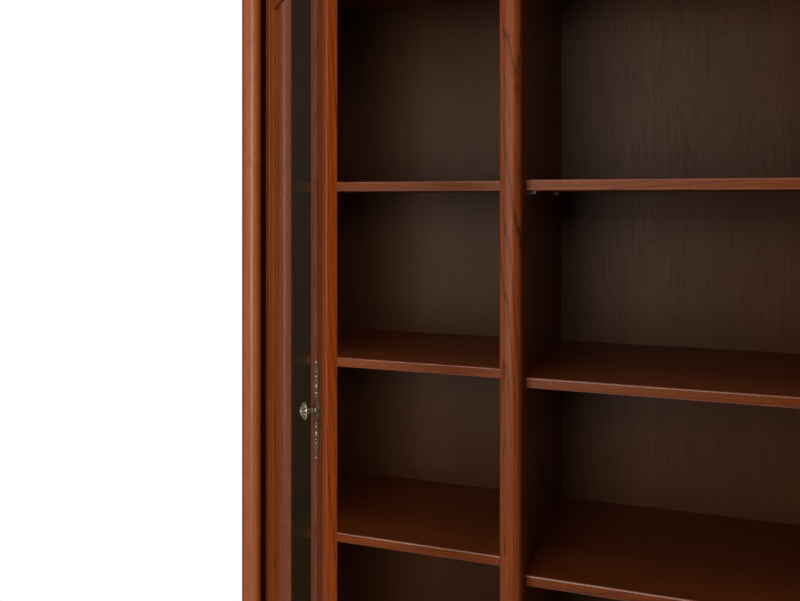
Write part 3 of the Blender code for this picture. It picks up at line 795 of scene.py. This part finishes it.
# the way the grain runs, and the way into the wood
boards = {
    "side_panel_left": (up, right),
    "side_panel_right": (up, -right),
    "centre_divider": (up, -right),
    "bottom_panel": (right, -up),
    "top_panel": (right, up),
    "plinth_back": (right, -away),
    "plinth_centre": (away, right),
    "cornice_back": (right, -away),
}
boardGrain = {"top_panel": {"tone": 0.6}, "centre_divider": {"tone": 0.55, "look": innerLook}}


def addPosts():
    for place, grain in posts.items():
        node = "front_post_" + place
        low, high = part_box(node)
        bm = block(low, high)
        fronts = edgePair(bm, (1, low.y), 0, (low.x, high.x))
        soften(bm, fronts, case["postRound"], case["postSegments"])
        easeEdges(bm, case["edgeEase"], case["postEaseSegments"])
        addWood(camel(node), bm, up, away, [node], **grain)


def addBoards():
    for node, (along, depth) in boards.items():
        bm = block(*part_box(node))
        easeEdges(bm, case["edgeEase"])
        addWood(camel(node), bm, along, depth, [node], **boardGrain.get(node, {}))


def railSection(side, low, high):
    # between two posts, and on behind the outer one as far as the side panel
    postLow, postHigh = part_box("front_post_" + side)
    rear = postHigh.y + case["fit"]
    if side == "left":
        inner, outer, far = postHigh.x + case["fit"], low.x, high.x
    else:
        inner, outer, far = postLow.x - case["fit"], high.x, low.x
    return [(far, low.y), (far, high.y), (outer, high.y), (outer, rear), (inner, rear), (inner, low.y)]


def addRails():
    for side in ("left", "right"):
        for level in ("top", "bottom"):
            node = f"{level}_rail_{side}"
            low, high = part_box(node)
            bm = member(railSection(side, low, high), high.z - low.z, (0, 0), 0)
            bmesh.ops.translate(bm, vec=(0, 0, (low.z + high.z) / 2), verts=bm.verts)
            inner = low.z if level == "top" else high.z
            soften(bm, edgesAt(bm, (1, low.y), (2, inner)), case["railRound"], case["railSegments"])
            easeEdges(bm, case["edgeEase"])
            addWood(camel(node), bm, right, away, [node])


def addCap():
    low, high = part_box("cornice_cap")
    bm = block(low, high)
    edges = []
    for face in ((1, low.y), (0, low.x), (0, high.x)):
        edges += edgePair(bm, face, 2, (low.z, high.z))
    soften(bm, edges, case["capRound"], case["capSegments"])
    easeEdges(bm, case["edgeEase"])
    addWood("corniceCap", bm, right, -up, ["cornice_cap"])


addPosts()
addBoards()
addRails()
addCap()
print("case boards placed")


# Plinth and cornice mouldings

plinth = {"thickness": 0.018, "proud": 0.012, "round": 0.009}
cornice = {"thickness": 0.018, "proud": 0.030, "step": 0.005}
moulding = {"gap": 0.00015, "steps": 16, "ease": 0.0005}  # the gap is on each side of a mitre


def plinthSection(height):
    top = height / 2
    centre = (plinth["proud"] - plinth["round"], top - plinth["round"])
    rounding = arc(centre, (plinth["round"],) * 2, 0, 90, moulding["steps"])
    inside = -plinth["thickness"]
    return [(inside, -top), (plinth["proud"], -top), *rounding, (inside, top)]


def corniceSection(height):
    step = cornice["step"]
    proud = cornice["proud"]
    low = -height / 2
    radii = (proud - 2 * step, height - 2 * step)
    cove = arc((proud - step, low + step), radii, 180, 90, moulding["steps"])
    inside = -cornice["thickness"]
    return [
        (inside, low),
        (step, low),
        *cove,
        (proud, height / 2 - step),
        (proud, height / 2),
        (inside, height / 2),
    ]


def addMouldings(kind, section):
    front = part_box("front_post_left")[0]
    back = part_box("side_panel_right")[1]
    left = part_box("side_panel_left")[0].x
    low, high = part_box(f"{kind}_front")
    middle = (low.z + high.z) / 2
    outline = section(high.z - low.z)
    width = back.x - left
    depth = back.y - front.y
    centreY = (back.y + front.y) / 2
    runs = {
        "front": (width, (1, 1), Vector((0, front.y, middle)), -away, right),
        "left": (depth, (1, 0), Vector((left, centreY, middle)), -right, away),
        "right": (depth, (0, 1), Vector((back.x, centreY, middle)), right, away),
    }
    for side, (length, leans, spot, outward, along) in runs.items():
        bm = member(outline, length, leans, moulding["gap"])
        easeEdges(bm, moulding["ease"])
        put(bm, Matrix.Translation(spot) @ facing(outward, up))
        addWood(f"{kind}{side.title()}", bm, along, -outward, [f"{kind}_{side}"])


addMouldings("plinth", plinthSection)
addMouldings("cornice", corniceSection)
print("mouldings placed")


# Back panels, with the pins that hold them

backPanels = {
    "pinInset": 0.010,
    "pinPitch": 0.165,
    "pinHead": 0.0017,
    "pinTaper": 0.8,
    "pinSegments": 10,
    "pinProud": 0.0005,
}


def pinRow(bm, start, end):
    count = max(2, round((end - start).length / backPanels["pinPitch"]))
    for i in range(count + 1):
        spot = Matrix.Translation(start.lerp(end, i / count)) @ facing(right, -up)
        bmesh.ops.create_cone(
            bm,
            cap_ends=True,
            segments=backPanels["pinSegments"],
            radius1=backPanels["pinHead"],
            radius2=backPanels["pinHead"] * backPanels["pinTaper"],
            depth=2 * backPanels["pinProud"],
            matrix=spot,
        )


def addBackPanels():
    for side in ("left", "right"):
        node = "back_panel_" + side
        low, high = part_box(node)
        bm = block(low, high)
        piece = addWood(camel(node), bm, up, away, [node], slot="back_board", look=backLook)
        piece.data.materials.append(rawBoard)
        for face in piece.data.polygons:
            if face.normal.y > 0.9:  # the rear face
                face.material_index = 1
        inset = backPanels["pinInset"]
        nearX, farX = low.x + inset, high.x - inset
        nearZ, farZ = low.z + inset, high.z - inset
        corners = [
            Vector((x, high.y, z))
            for x, z in ((nearX, nearZ), (farX, nearZ), (farX, farZ), (nearX, farZ))
        ]
        bm = bmesh.new()
        for start, end in zip(corners, corners[1:] + corners[:1]):
            pinRow(bm, start, end)
        addPiece("panelPins" + side.title(), bm, "carcass", steel)


addBackPanels()
print("back panels placed")


# Shelves and their pins

shelf = {
    "board": 0.018,
    "play": 0.0005,  # between a shelf and the walls
    "edgeRound": 0.0032,
    "edgeSegments": 7,
    "ease": 0.0004,
    "edgeSpecular": (0.10, 0.75),  # lacquer on the flat of the front edge, and on its roundings
    "frontTilt": 0.1,  # a face of the front edge looks forwards by more than this
    "roundTilt": 0.3,  # and one of its roundings up or down by more than this
    # each shelf's strength of colour, from the lowest shelf up, as painted shade, deeper in the right
    # bay
    "tones": {"left": (0.9, 0.9, 0.94, 0.84), "right": (0.7, 0.66, 0.66, 0.82)},
    # painted shade: the wood of each shelf is darker towards the rear
    "tints": ((0.62, 0.60, 0.55), (0.02, 0.15, (1.0, 1.0, 1.0))),
}
shelfPin = {
    "radius": 0.0025,
    "steps": 20,
    "noseSteps": 5,
    "seat": 0.009,  # how far it goes into the wall
    "tabLength": 0.011,
    "tabWidth": 0.009,
    "tabThickness": 0.002,
    "tabCorner": 0.7,  # share of half the width
    "tabSegments": 5,
    "ease": 0.0003,
    "underTab": 0.8,  # share of the tab that the round pin runs under
    "frontInset": 0.050,
    "rearInset": 0.084,
}


def shelfPinShape(wall, inward, y, underside):
    # a flat tab under the shelf on a round pin that goes into the wall
    tip = wall + inward * shelfPin["tabLength"]
    ends = sorted((wall, tip))
    half = shelfPin["tabWidth"] / 2
    low = Vector((ends[0], y - half, underside - shelfPin["tabThickness"]))
    high = Vector((ends[1], y + half, underside))
    bm = block(low, high)
    corners = edgePair(bm, (0, tip), 1, (low.y, high.y))
    soften(bm, corners, half * shelfPin["tabCorner"], shelfPin["tabSegments"])
    easeEdges(bm, shelfPin["ease"])
    radius = shelfPin["radius"]
    length = shelfPin["seat"] + shelfPin["tabLength"] * shelfPin["underTab"]
    nose = arc((0, length - radius), (radius, radius), 90, 0, shelfPin["noseSteps"])
    pin = turnedShape([*nose, (radius, 0), (0, 0)], shelfPin["steps"])
    spot = Vector((wall - inward * shelfPin["seat"], y, low.z - radius / 2))
    turn = facing(away, up) if inward > 0 else facing(-away, up)
    put(pin, Matrix.Translation(spot) @ turn)
    gather(bm, pin)
    return bm


def lacquerEdges(piece):
    # two more finishes, for the faces that look forwards
    for specular in shelf["edgeSpecular"]:
        finish = piece.data.materials[0].copy()
        shader = next(n for n in finish.node_tree.nodes if n.type == "BSDF_PRINCIPLED")
        shader.inputs["Specular IOR Level"].default_value = specular
        piece.data.materials.append(finish)
    for face in piece.data.polygons:
        if face.normal.y < -shelf["frontTilt"]:
            face.material_index = 2 if abs(face.normal.z) > shelf["roundTilt"] else 1


def addShelves():
    walls = {
        "left": (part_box("side_panel_left")[1].x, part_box("centre_divider")[0].x),
        "right": (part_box("centre_divider")[1].x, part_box("side_panel_right")[0].x),
    }
    for side, (leftWall, rightWall) in walls.items():
        for i, tone in enumerate(shelf["tones"][side], 1):
            node = f"shelf_{side}_{i}"
            low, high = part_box(node)
            underside = high.z - shelf["board"]
            lowest = Vector((leftWall + shelf["play"], low.y, underside))
            highest = Vector((rightWall - shelf["play"], high.y, high.z))
            bm = block(lowest, highest)
            fronts = edgePair(bm, (1, low.y), 2, (underside, high.z))
            soften(bm, fronts, shelf["edgeRound"], shelf["edgeSegments"])
            easeEdges(bm, shelf["ease"])
            piece = addWood(camel(node), bm, right, -up, [node], tone=tone, tints=shelf["tints"])
            lacquerEdges(piece)
            bm = bmesh.new()
            for wall, inward in ((leftWall, 1), (rightWall, -1)):
                for y in (low.y + shelfPin["frontInset"], high.y - shelfPin["rearInset"]):
                    gather(bm, shelfPinShape(wall, inward, y, underside))
            addPiece(f"shelfPins{side.title()}{i}", bm, "carcass", dullSteel, [node])


addShelves()
print("shelves placed")


# Door frame, glass and stops

doorFrame = {
    "width": 0.076,
    "thickness": 0.018,
    "edgeRound": (0.012, 0.0055),
    "beadWidth": 0.0355,
    "beadRise": 0.020,
    "beadHeight": 0.001,
    "beadFall": 0.002,
    "quirkWidth": 0.001,  # groove between the flat and the bead
    "quirkDepth": 0.0025,
    "lipDepth": 0.0035,
    "rebate": 0.008,
    "steps": 16,
    "stopRound": 0.0012,
    "stopSegments": 3,
    # strengths of the colour across each member: bead, flat, rounding and end, as painted sheen and
    # shade
    "tints": {
        "StileHinge": ((0.78, 0.72, 0.65), (-0.002, 0.004, (0.95, 0.95, 0.95))),
        "StileFree": (
            (0.62, 0.95, 3.0),
            (-0.006, -0.001, (0.58, 0.48, 0.40)),
            (0.022, 0.030, (0.62, 0.62, 0.70)),
            (0.0355, 0.0378, (1.12, 1.0, 0.60)),
        ),
        "RailTop": ((0.78, 0.72, 0.65), (-0.002, 0.004, (0.95, 0.95, 0.95))),
        "RailBottom": ((0.95, 0.95, 0.95), (-0.004, 0.002, (0.78, 0.72, 0.65))),
    },
}


def frameSection():
    # X runs in from the outer edge of the frame and Y stands out from its face
    width = doorFrame["width"]
    steps = doorFrame["steps"]
    height = doorFrame["beadHeight"]
    roundWidth, roundDepth = doorFrame["edgeRound"]
    edge = arc((roundWidth, -roundDepth), (roundWidth, roundDepth), 180, 90, steps)
    bead = width - doorFrame["beadWidth"]
    crest = bead + doorFrame["beadRise"]
    quirk = doorFrame["quirkDepth"]
    rise = arc((crest, -quirk), (doorFrame["beadRise"], height + quirk), 180, 90, steps)
    drop = doorFrame["beadFall"]
    fall = arc((crest, -drop), (width - crest, height + drop), 90, 0, steps)
    inner = width - doorFrame["rebate"]
    lip = -doorFrame["lipDepth"]
    back = -doorFrame["thickness"]
    corner = (bead - doorFrame["quirkWidth"], 0)
    return [*edge, corner, *rise, *fall[1:], (width, lip), (inner, lip), (inner, back), (0, back)]


def addDoorFrame():
    low = shutBox("door_stile_hinge")[0]
    high = shutBox("door_stile_free")[1]
    face = low.y + doorFrame["beadHeight"]
    middle = Vector(((low.x + high.x) / 2, face, (low.z + high.z) / 2))
    halfWidth = (high.x - low.x) / 2
    halfHeight = (high.z - low.z) / 2
    section = frameSection()
    runs = {
        "StileHinge": (-halfWidth * right, right, 2 * halfHeight, up, "door_stile_hinge"),
        "StileFree": (halfWidth * right, -right, 2 * halfHeight, up, "door_stile_free"),
        "RailTop": (halfHeight * up, -up, 2 * halfWidth, right, "door_rail_top"),
        "RailBottom": (-halfHeight * up, up, 2 * halfWidth, right, "door_rail_bottom"),
    }
    for name, (offset, inward, length, along, node) in runs.items():
        bm = member(section, length, (-1, -1), moulding["gap"])
        put(bm, Matrix.Translation(middle + offset) @ facing(inward, -away))
        tints = doorFrame["tints"][name]
        addWood("door" + name, bm, along, away, [node], "door", look=doorLook, tints=tints)
    for side in ("top", "bottom", "hinge", "free"):
        node = "glazing_stop_" + side
        bm = block(*shutBox(node))
        easeEdges(bm, doorFrame["stopRound"], doorFrame["stopSegments"])
        along = right if side in ("top", "bottom") else up
        addWood(camel(node), bm, along, -away, [node], "door")
    pane = nodes["door_glass"]
    pane.data.materials.clear()
    pane.data.materials.append(clearGlass)
    pane.visible_shadow = False
    pane.visible_diffuse = False


addDoorFrame()
print("door placed")


# Knob and its plate

plate = {
    "halfLength": 0.0665,
    "width": 0.017,
    "waist": 0.0075,
    "waves": 3,
    "outlineSteps": 160,
    "base": 0.0011,
    "edgeRound": 0.0004,
    "patina": (0.0015, 0.0031),  # it thins out between these heights
    "bossHalves": (0.0050, 0.0162, 0.0016),
    "sharp": 50,  # degrees, from which an edge is shaded as sharp
    "domeSegments": (18, 12),
    "relief": 1.5,  # the domes stand this much higher than listed
    # each dome: distance up the spine, half width, half length, height
    "domes": (
        (0.0176, 0.0016, 0.0012, 0.0017),
        (0.0222, 0.0020, 0.0024, 0.0019),
        (0.0318, 0.0023, 0.0046, 0.0020),
        (0.0395, 0.0017, 0.0013, 0.0018),
        (0.0450, 0.0022, 0.0023, 0.0020),
        (0.0513, 0.0016, 0.0012, 0.0017),
        (0.0556, 0.0013, 0.0010, 0.0014),
        (0.0640, 0.0018, 0.0019, 0.0018),
    ),
    "leafLevel": 0.8,  # shares of the base: where the leaves lie, and where the relief is cut off below
    "cutLevel": 1 / 3,
    # each pair of leaves: distance up and across, half width, half length, height, lean in degrees
    "leaves": (
        (0.0065, 0.0056, 0.0014, 0.0046, 0.0012, 12),
        (0.0268, 0.0028, 0.0010, 0.0032, 0.0011, -24),
        (0.0352, 0.0038, 0.0012, 0.0036, 0.0013, -32),
        (0.0418, 0.0049, 0.0013, 0.0036, 0.0014, -30),
        (0.0480, 0.0045, 0.0012, 0.0034, 0.0013, 28),
        (0.0540, 0.0028, 0.0010, 0.0030, 0.0011, 24),
    ),
    "scroll": {
        "up": 0.0590,
        "across": 0.0017,
        "radius": 0.0017,
        "wire": 0.00065,
        "wireSegments": 10,
        "rise": 1.4,
        "turn": 300,
        "steps": 22,
    },
}
knob = {
    "seatRadius": 0.0048,
    "height": 0.0227,
    "sharp": 60,
    # radius and height of the narrow places above the foot and above the collar
    "stem": (0.0033, 0.0086),
    "neck": (0.0029, 0.0130),
    # arcs of the turned outline: centre, radii, first and last angle, steps
    "foot": ((0.0048, 0.0022), (0.0014, 0.0017), 270, 180, 6),
    "collar": ((0.0030, 0.0106), (0.0011, 0.0019), -90, 90, 8),
    "back": ((0.0030, 0.0162), (0.0086, 0.0030), 270, 325, 8),
    "rim": ((0.0113, 0.0152), (0.0012, 0.0011), -40, 90, 8),
    "button": ((0.0004, 0.0208), (0.0036, 0.0019), 0, 90, 7),
    # radius and height of the two ends of the lobed cone
    "lobeStart": (0.0046, 0.0206),
    "lobeEnd": (0.0113, 0.0161),
    "coneSteps": 8,
    "lobes": 12,
    "stepsPerLobe": 12,
    "lobeDepth": 0.0026,
    "lobeSink": 0.6,  # share of the depth that the grooves go below the cone
    "innerShare": 0.35,  # share of the depth that is left at the middle
    "grooveEdges": (0.10, 0.38),  # patina from the groove to here, in turns of a lobe
    "patinaFade": (0.001, 0.0006),  # over this width at the button and at the rim
    "slack": 1e-5,
}


def fixedPlace(node):
    # local X to the free edge, Y up and Z out from the shut door, from the middle of the node's seat
    low, high = shutBox(node)
    return Matrix.Translation(((low.x + high.x) / 2, high.y, (low.z + high.z) / 2)) @ facing(right, up)


def dome(bm, spot, halves, lean=0.0):
    turn = Matrix.Rotation(math.radians(lean), 4, "Z")
    place = Matrix.Translation(spot) @ turn @ Matrix.Diagonal((*halves, 1))
    across, rise = plate["domeSegments"]
    bmesh.ops.create_uvsphere(bm, u_segments=across, v_segments=rise, radius=1, matrix=place)


def plateBase():
    bm = bmesh.new()
    bmesh.ops.create_circle(bm, cap_ends=True, segments=plate["outlineSteps"], radius=1)
    for v in bm.verts:
        wave = (1 + math.cos(plate["waves"] * math.pi * v.co.y)) / 2
        v.co.x *= (plate["waist"] + (plate["width"] - plate["waist"]) * wave) / 2
        v.co.y *= plate["halfLength"]
    rim = bmesh.ops.extrude_face_region(bm, geom=bm.faces[:])["geom"]
    top = [item for item in rim if isinstance(item, bmesh.types.BMVert)]
    bmesh.ops.translate(bm, vec=(0, 0, plate["base"]), verts=top)
    faceOut(bm)
    soften(bm, edgesAt(bm, (2, plate["base"])), plate["edgeRound"], 2)
    return bm


def plateScroll(side, end):
    # a curl of round wire beside the tip of the plate
    setup = plate["scroll"]
    bm = bmesh.new()
    start = Matrix.Translation((setup["radius"], 0, 0)) @ Matrix.Rotation(math.pi / 2, 4, "X")
    bmesh.ops.create_circle(
        bm, cap_ends=True, segments=setup["wireSegments"], radius=setup["wire"], matrix=start
    )
    turn = math.radians(setup["turn"])
    bmesh.ops.spin(bm, geom=bm.faces[:], cent=(0, 0, 0), axis=up, angle=turn, steps=setup["steps"])
    put(bm, Matrix.Diagonal((side, end, setup["rise"], 1)))
    spot = (side * setup["across"], end * setup["up"], plate["base"])
    bmesh.ops.translate(bm, vec=spot, verts=bm.verts)
    faceOut(bm)
    return bm


def addKnobPlate():
    bm = bmesh.new()
    level = plate["base"]
    dome(bm, (0, 0, level), plate["bossHalves"])
    for end in (-1, 1):
        for along, halfWidth, halfLength, height in plate["domes"]:
            dome(bm, (0, end * along, level), (halfWidth, halfLength, height * plate["relief"]))
        for along, across, halfWidth, halfLength, height, lean in plate["leaves"]:
            for side in (-1, 1):
                spot = (side * across, end * along, level * plate["leafLevel"])
                dome(bm, spot, (halfWidth, halfLength, height), side * end * lean)
        for side in (-1, 1):
            gather(bm, plateScroll(side, end))
    # what would come out under the plate is cut away
    cutOff(bm, (0, 0, level * plate["cutLevel"]), -up)
    gather(bm, plateBase())
    faceOut(bm)
    place = fixedPlace("knob_plate")
    put(bm, place)

    def hollows(x, y, z):
        return 1 - z.smooth(*plate["patina"])

    look = agedBrass("plateBrass", openDoor @ place, hollows)
    addPiece("knobPlate", bm, "door", look, ["knob_plate"], plate["sharp"])


def knobProfile():
    start, end, steps = knob["lobeEnd"], knob["lobeStart"], knob["coneSteps"]
    cone = [tuple(a + (b - a) * i / steps for a, b in zip(start, end)) for i in range(steps + 1)]
    return [
        (0, 0),
        (knob["seatRadius"], 0),
        *arc(*knob["foot"]),
        knob["stem"],
        *arc(*knob["collar"]),
        knob["neck"],
        *arc(*knob["back"]),
        *arc(*knob["rim"]),
        *cone,
        *arc(*knob["button"]),
        (0, knob["height"]),
    ]


def addKnob():
    bm = turnedShape(knobProfile(), knob["lobes"] * knob["stepsPerLobe"])
    slack = knob["slack"]
    inner, outer = knob["lobeStart"][0], knob["lobeEnd"][0]
    lowest, highest = knob["lobeEnd"][1] - slack, knob["lobeStart"][1] + slack
    lobesPerRadian = knob["lobes"] / (2 * math.pi)
    innerShare = knob["innerShare"]
    for v in bm.verts:
        radius = math.hypot(v.co.x, v.co.y)
        if inner - slack < radius < outer + slack and lowest < v.co.z < highest:
            turn = math.atan2(v.co.y, v.co.x) * lobesPerRadian
            across = 2 * (turn % 1) - 1  # from one groove to the next
            swell = math.sqrt(max(0, 1 - across * across)) - knob["lobeSink"]
            v.co.z += knob["lobeDepth"] * swell * (innerShare + (1 - innerShare) * radius / outer)
    faceOut(bm)
    place = fixedPlace("knob")
    put(bm, place)

    def grooves(x, y, z):
        turn = y.maths("ARCTAN2", y, x) * lobesPerRadian
        edge = 1 - turn.pingpong(0.5).smooth(*knob["grooveEdges"])
        radius = (x * x + y * y) ** 0.5
        fadeIn, fadeOut = knob["patinaFade"]
        cone = radius.smooth(inner, inner + fadeIn) * (1 - radius.smooth(outer, outer + fadeOut))
        return edge * cone * z.smooth(lowest - fadeOut, lowest)

    look = agedBrass("knobBrass", openDoor @ place, grooves)
    addPiece("knob", bm, "door", look, ["knob"], knob["sharp"])


addKnobPlate()
addKnob()
print("knob and plate placed")


# Hinge leaves, catch and strike plate: the solids with eased edges

hingeLeaf = {"look": brass, "slot": "antique_brass", "ease": 0.0002}
fittings = {
    "hinge_top_case_leaf": dict(hingeLeaf, body="carcass"),
    "hinge_bottom_case_leaf": dict(hingeLeaf, body="carcass"),
    "hinge_top_door_leaf": dict(hingeLeaf, body="door"),
    "hinge_bottom_door_leaf": dict(hingeLeaf, body="door"),
    "catch_body": {"body": "carcass", "look": brownPlastic, "slot": "brown_plastic", "ease": 0.0006},
    "catch_magnet": {"body": "carcass", "look": dullSteel, "slot": "plated_steel", "ease": 0.0003},
    "strike_plate": {"body": "door", "look": steel, "slot": "plated_steel", "ease": 0.0002},
}


def addFittings():
    for node, setup in fittings.items():
        bm = bmesh.new()
        bm.from_mesh(nodes[node].data)
        bmesh.ops.remove_doubles(bm, verts=bm.verts, dist=mergeGap)
        bmesh.ops.dissolve_limit(bm, angle_limit=flatAngle, verts=bm.verts, edges=bm.edges)
        easeEdges(bm, setup["ease"])
        if setup["body"] == "door":
            put(bm, shutDoor)
        addPiece(camel(node), bm, setup["body"], setup["look"], [node])


# Screws with a slot across the head, and the glides

largeScrew = {"radius": 0.0040, "height": 0.0020, "slot": 0.0011, "deep": 0.0009}
smallScrew = {"radius": 0.0027, "height": 0.0012, "slot": 0.0007, "deep": 0.0006}
screwShape = {
    "ease": 0.1,  # shares of the head's radius: ease of the head, and radius of the shank
    "shank": 0.42,
    "headSteps": 40,
    "easeSteps": 3,
    "topSteps": 24,
    "shankSteps": 20,
    "tipSteps": 4,
}
# each screw's body, its size, the axis it lies along, the side its head is on and its turn
screws = {
    "knob_screw": ("door", largeScrew, 1, 1, facing(-right, up)),
    "strike_screw": ("door", smallScrew, 1, 1, facing(-right, up)),
    "catch_screw_1": ("carcass", smallScrew, 0, -1, facing(away, -up)),
    "catch_screw_2": ("carcass", smallScrew, 0, -1, facing(away, -up)),
}
glide = {
    "radius": 0.012,
    "height": 0.0048,
    "round": 0.0022,
    "roundSteps": 8,
    "dimple": 0.0035,
    "dimpleDepth": 0.0008,
    "dimpleSteps": 6,
    "steps": 48,
}


def slottedHead(size):
    # local Z out of the head, whose face lies at zero
    radius, deep, height = size["radius"], size["deep"], size["height"]
    ease = radius * screwShape["ease"]
    rim = arc((radius - ease, -deep - ease), (ease, ease), 90, 0, screwShape["easeSteps"])
    bm = turnedShape([(0, -deep), *rim, (radius, -height), (0, -height)], screwShape["headSteps"])
    half = size["slot"] / 2
    lean = math.degrees(math.asin(half / radius))
    flat = (radius - ease, radius - ease)
    for turn in (0, 180):
        outline = arc((0, 0), flat, lean + turn, 180 - lean + turn, screwShape["topSteps"])
        top = member(outline, deep, (0, 0), 0)
        bmesh.ops.translate(top, vec=(0, 0, -deep / 2), verts=top.verts)
        gather(bm, top)
    return bm


def addScrews():
    for node, (body, size, axis, side, turn) in screws.items():
        low, high = shutBox(node) if body == "door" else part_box(node)
        spot = (low + high) / 2
        spot[axis] = high[axis] if side > 0 else low[axis]
        length = high[axis] - low[axis]
        bm = slottedHead(size)
        shank = size["radius"] * screwShape["shank"]
        tip = arc((0, -length + shank), (shank, shank), 0, -90, screwShape["tipSteps"])
        profile = [(0, -size["height"]), (shank, -size["height"]), *tip]
        gather(bm, turnedShape(profile, screwShape["shankSteps"]))
        put(bm, Matrix.Translation(spot) @ turn)
        addPiece(camel(node), bm, body, steel, [node])


def addGlides():
    radius, height, ease = glide["radius"], glide["height"], glide["round"]
    foot = arc((radius - ease, ease), (ease, ease), 0, -90, glide["roundSteps"])
    dimple = arc((0, 0), (glide["dimple"], glide["dimpleDepth"]), 0, 90, glide["dimpleSteps"])
    profile = [(0, height), (radius, height), *foot, *dimple]
    for side in ("left", "right"):
        for end in ("front", "rear"):
            node = f"glide_{side}_{end}"
            low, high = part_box(node)
            bm = turnedShape(profile, glide["steps"])
            spot = ((low.x + high.x) / 2, (low.y + high.y) / 2, low.z)
            bmesh.ops.translate(bm, vec=spot, verts=bm.verts)
            addPiece(camel(node), bm, "carcass", darkPlastic, [node])


addFittings()
addScrews()
addGlides()
print("fittings placed")
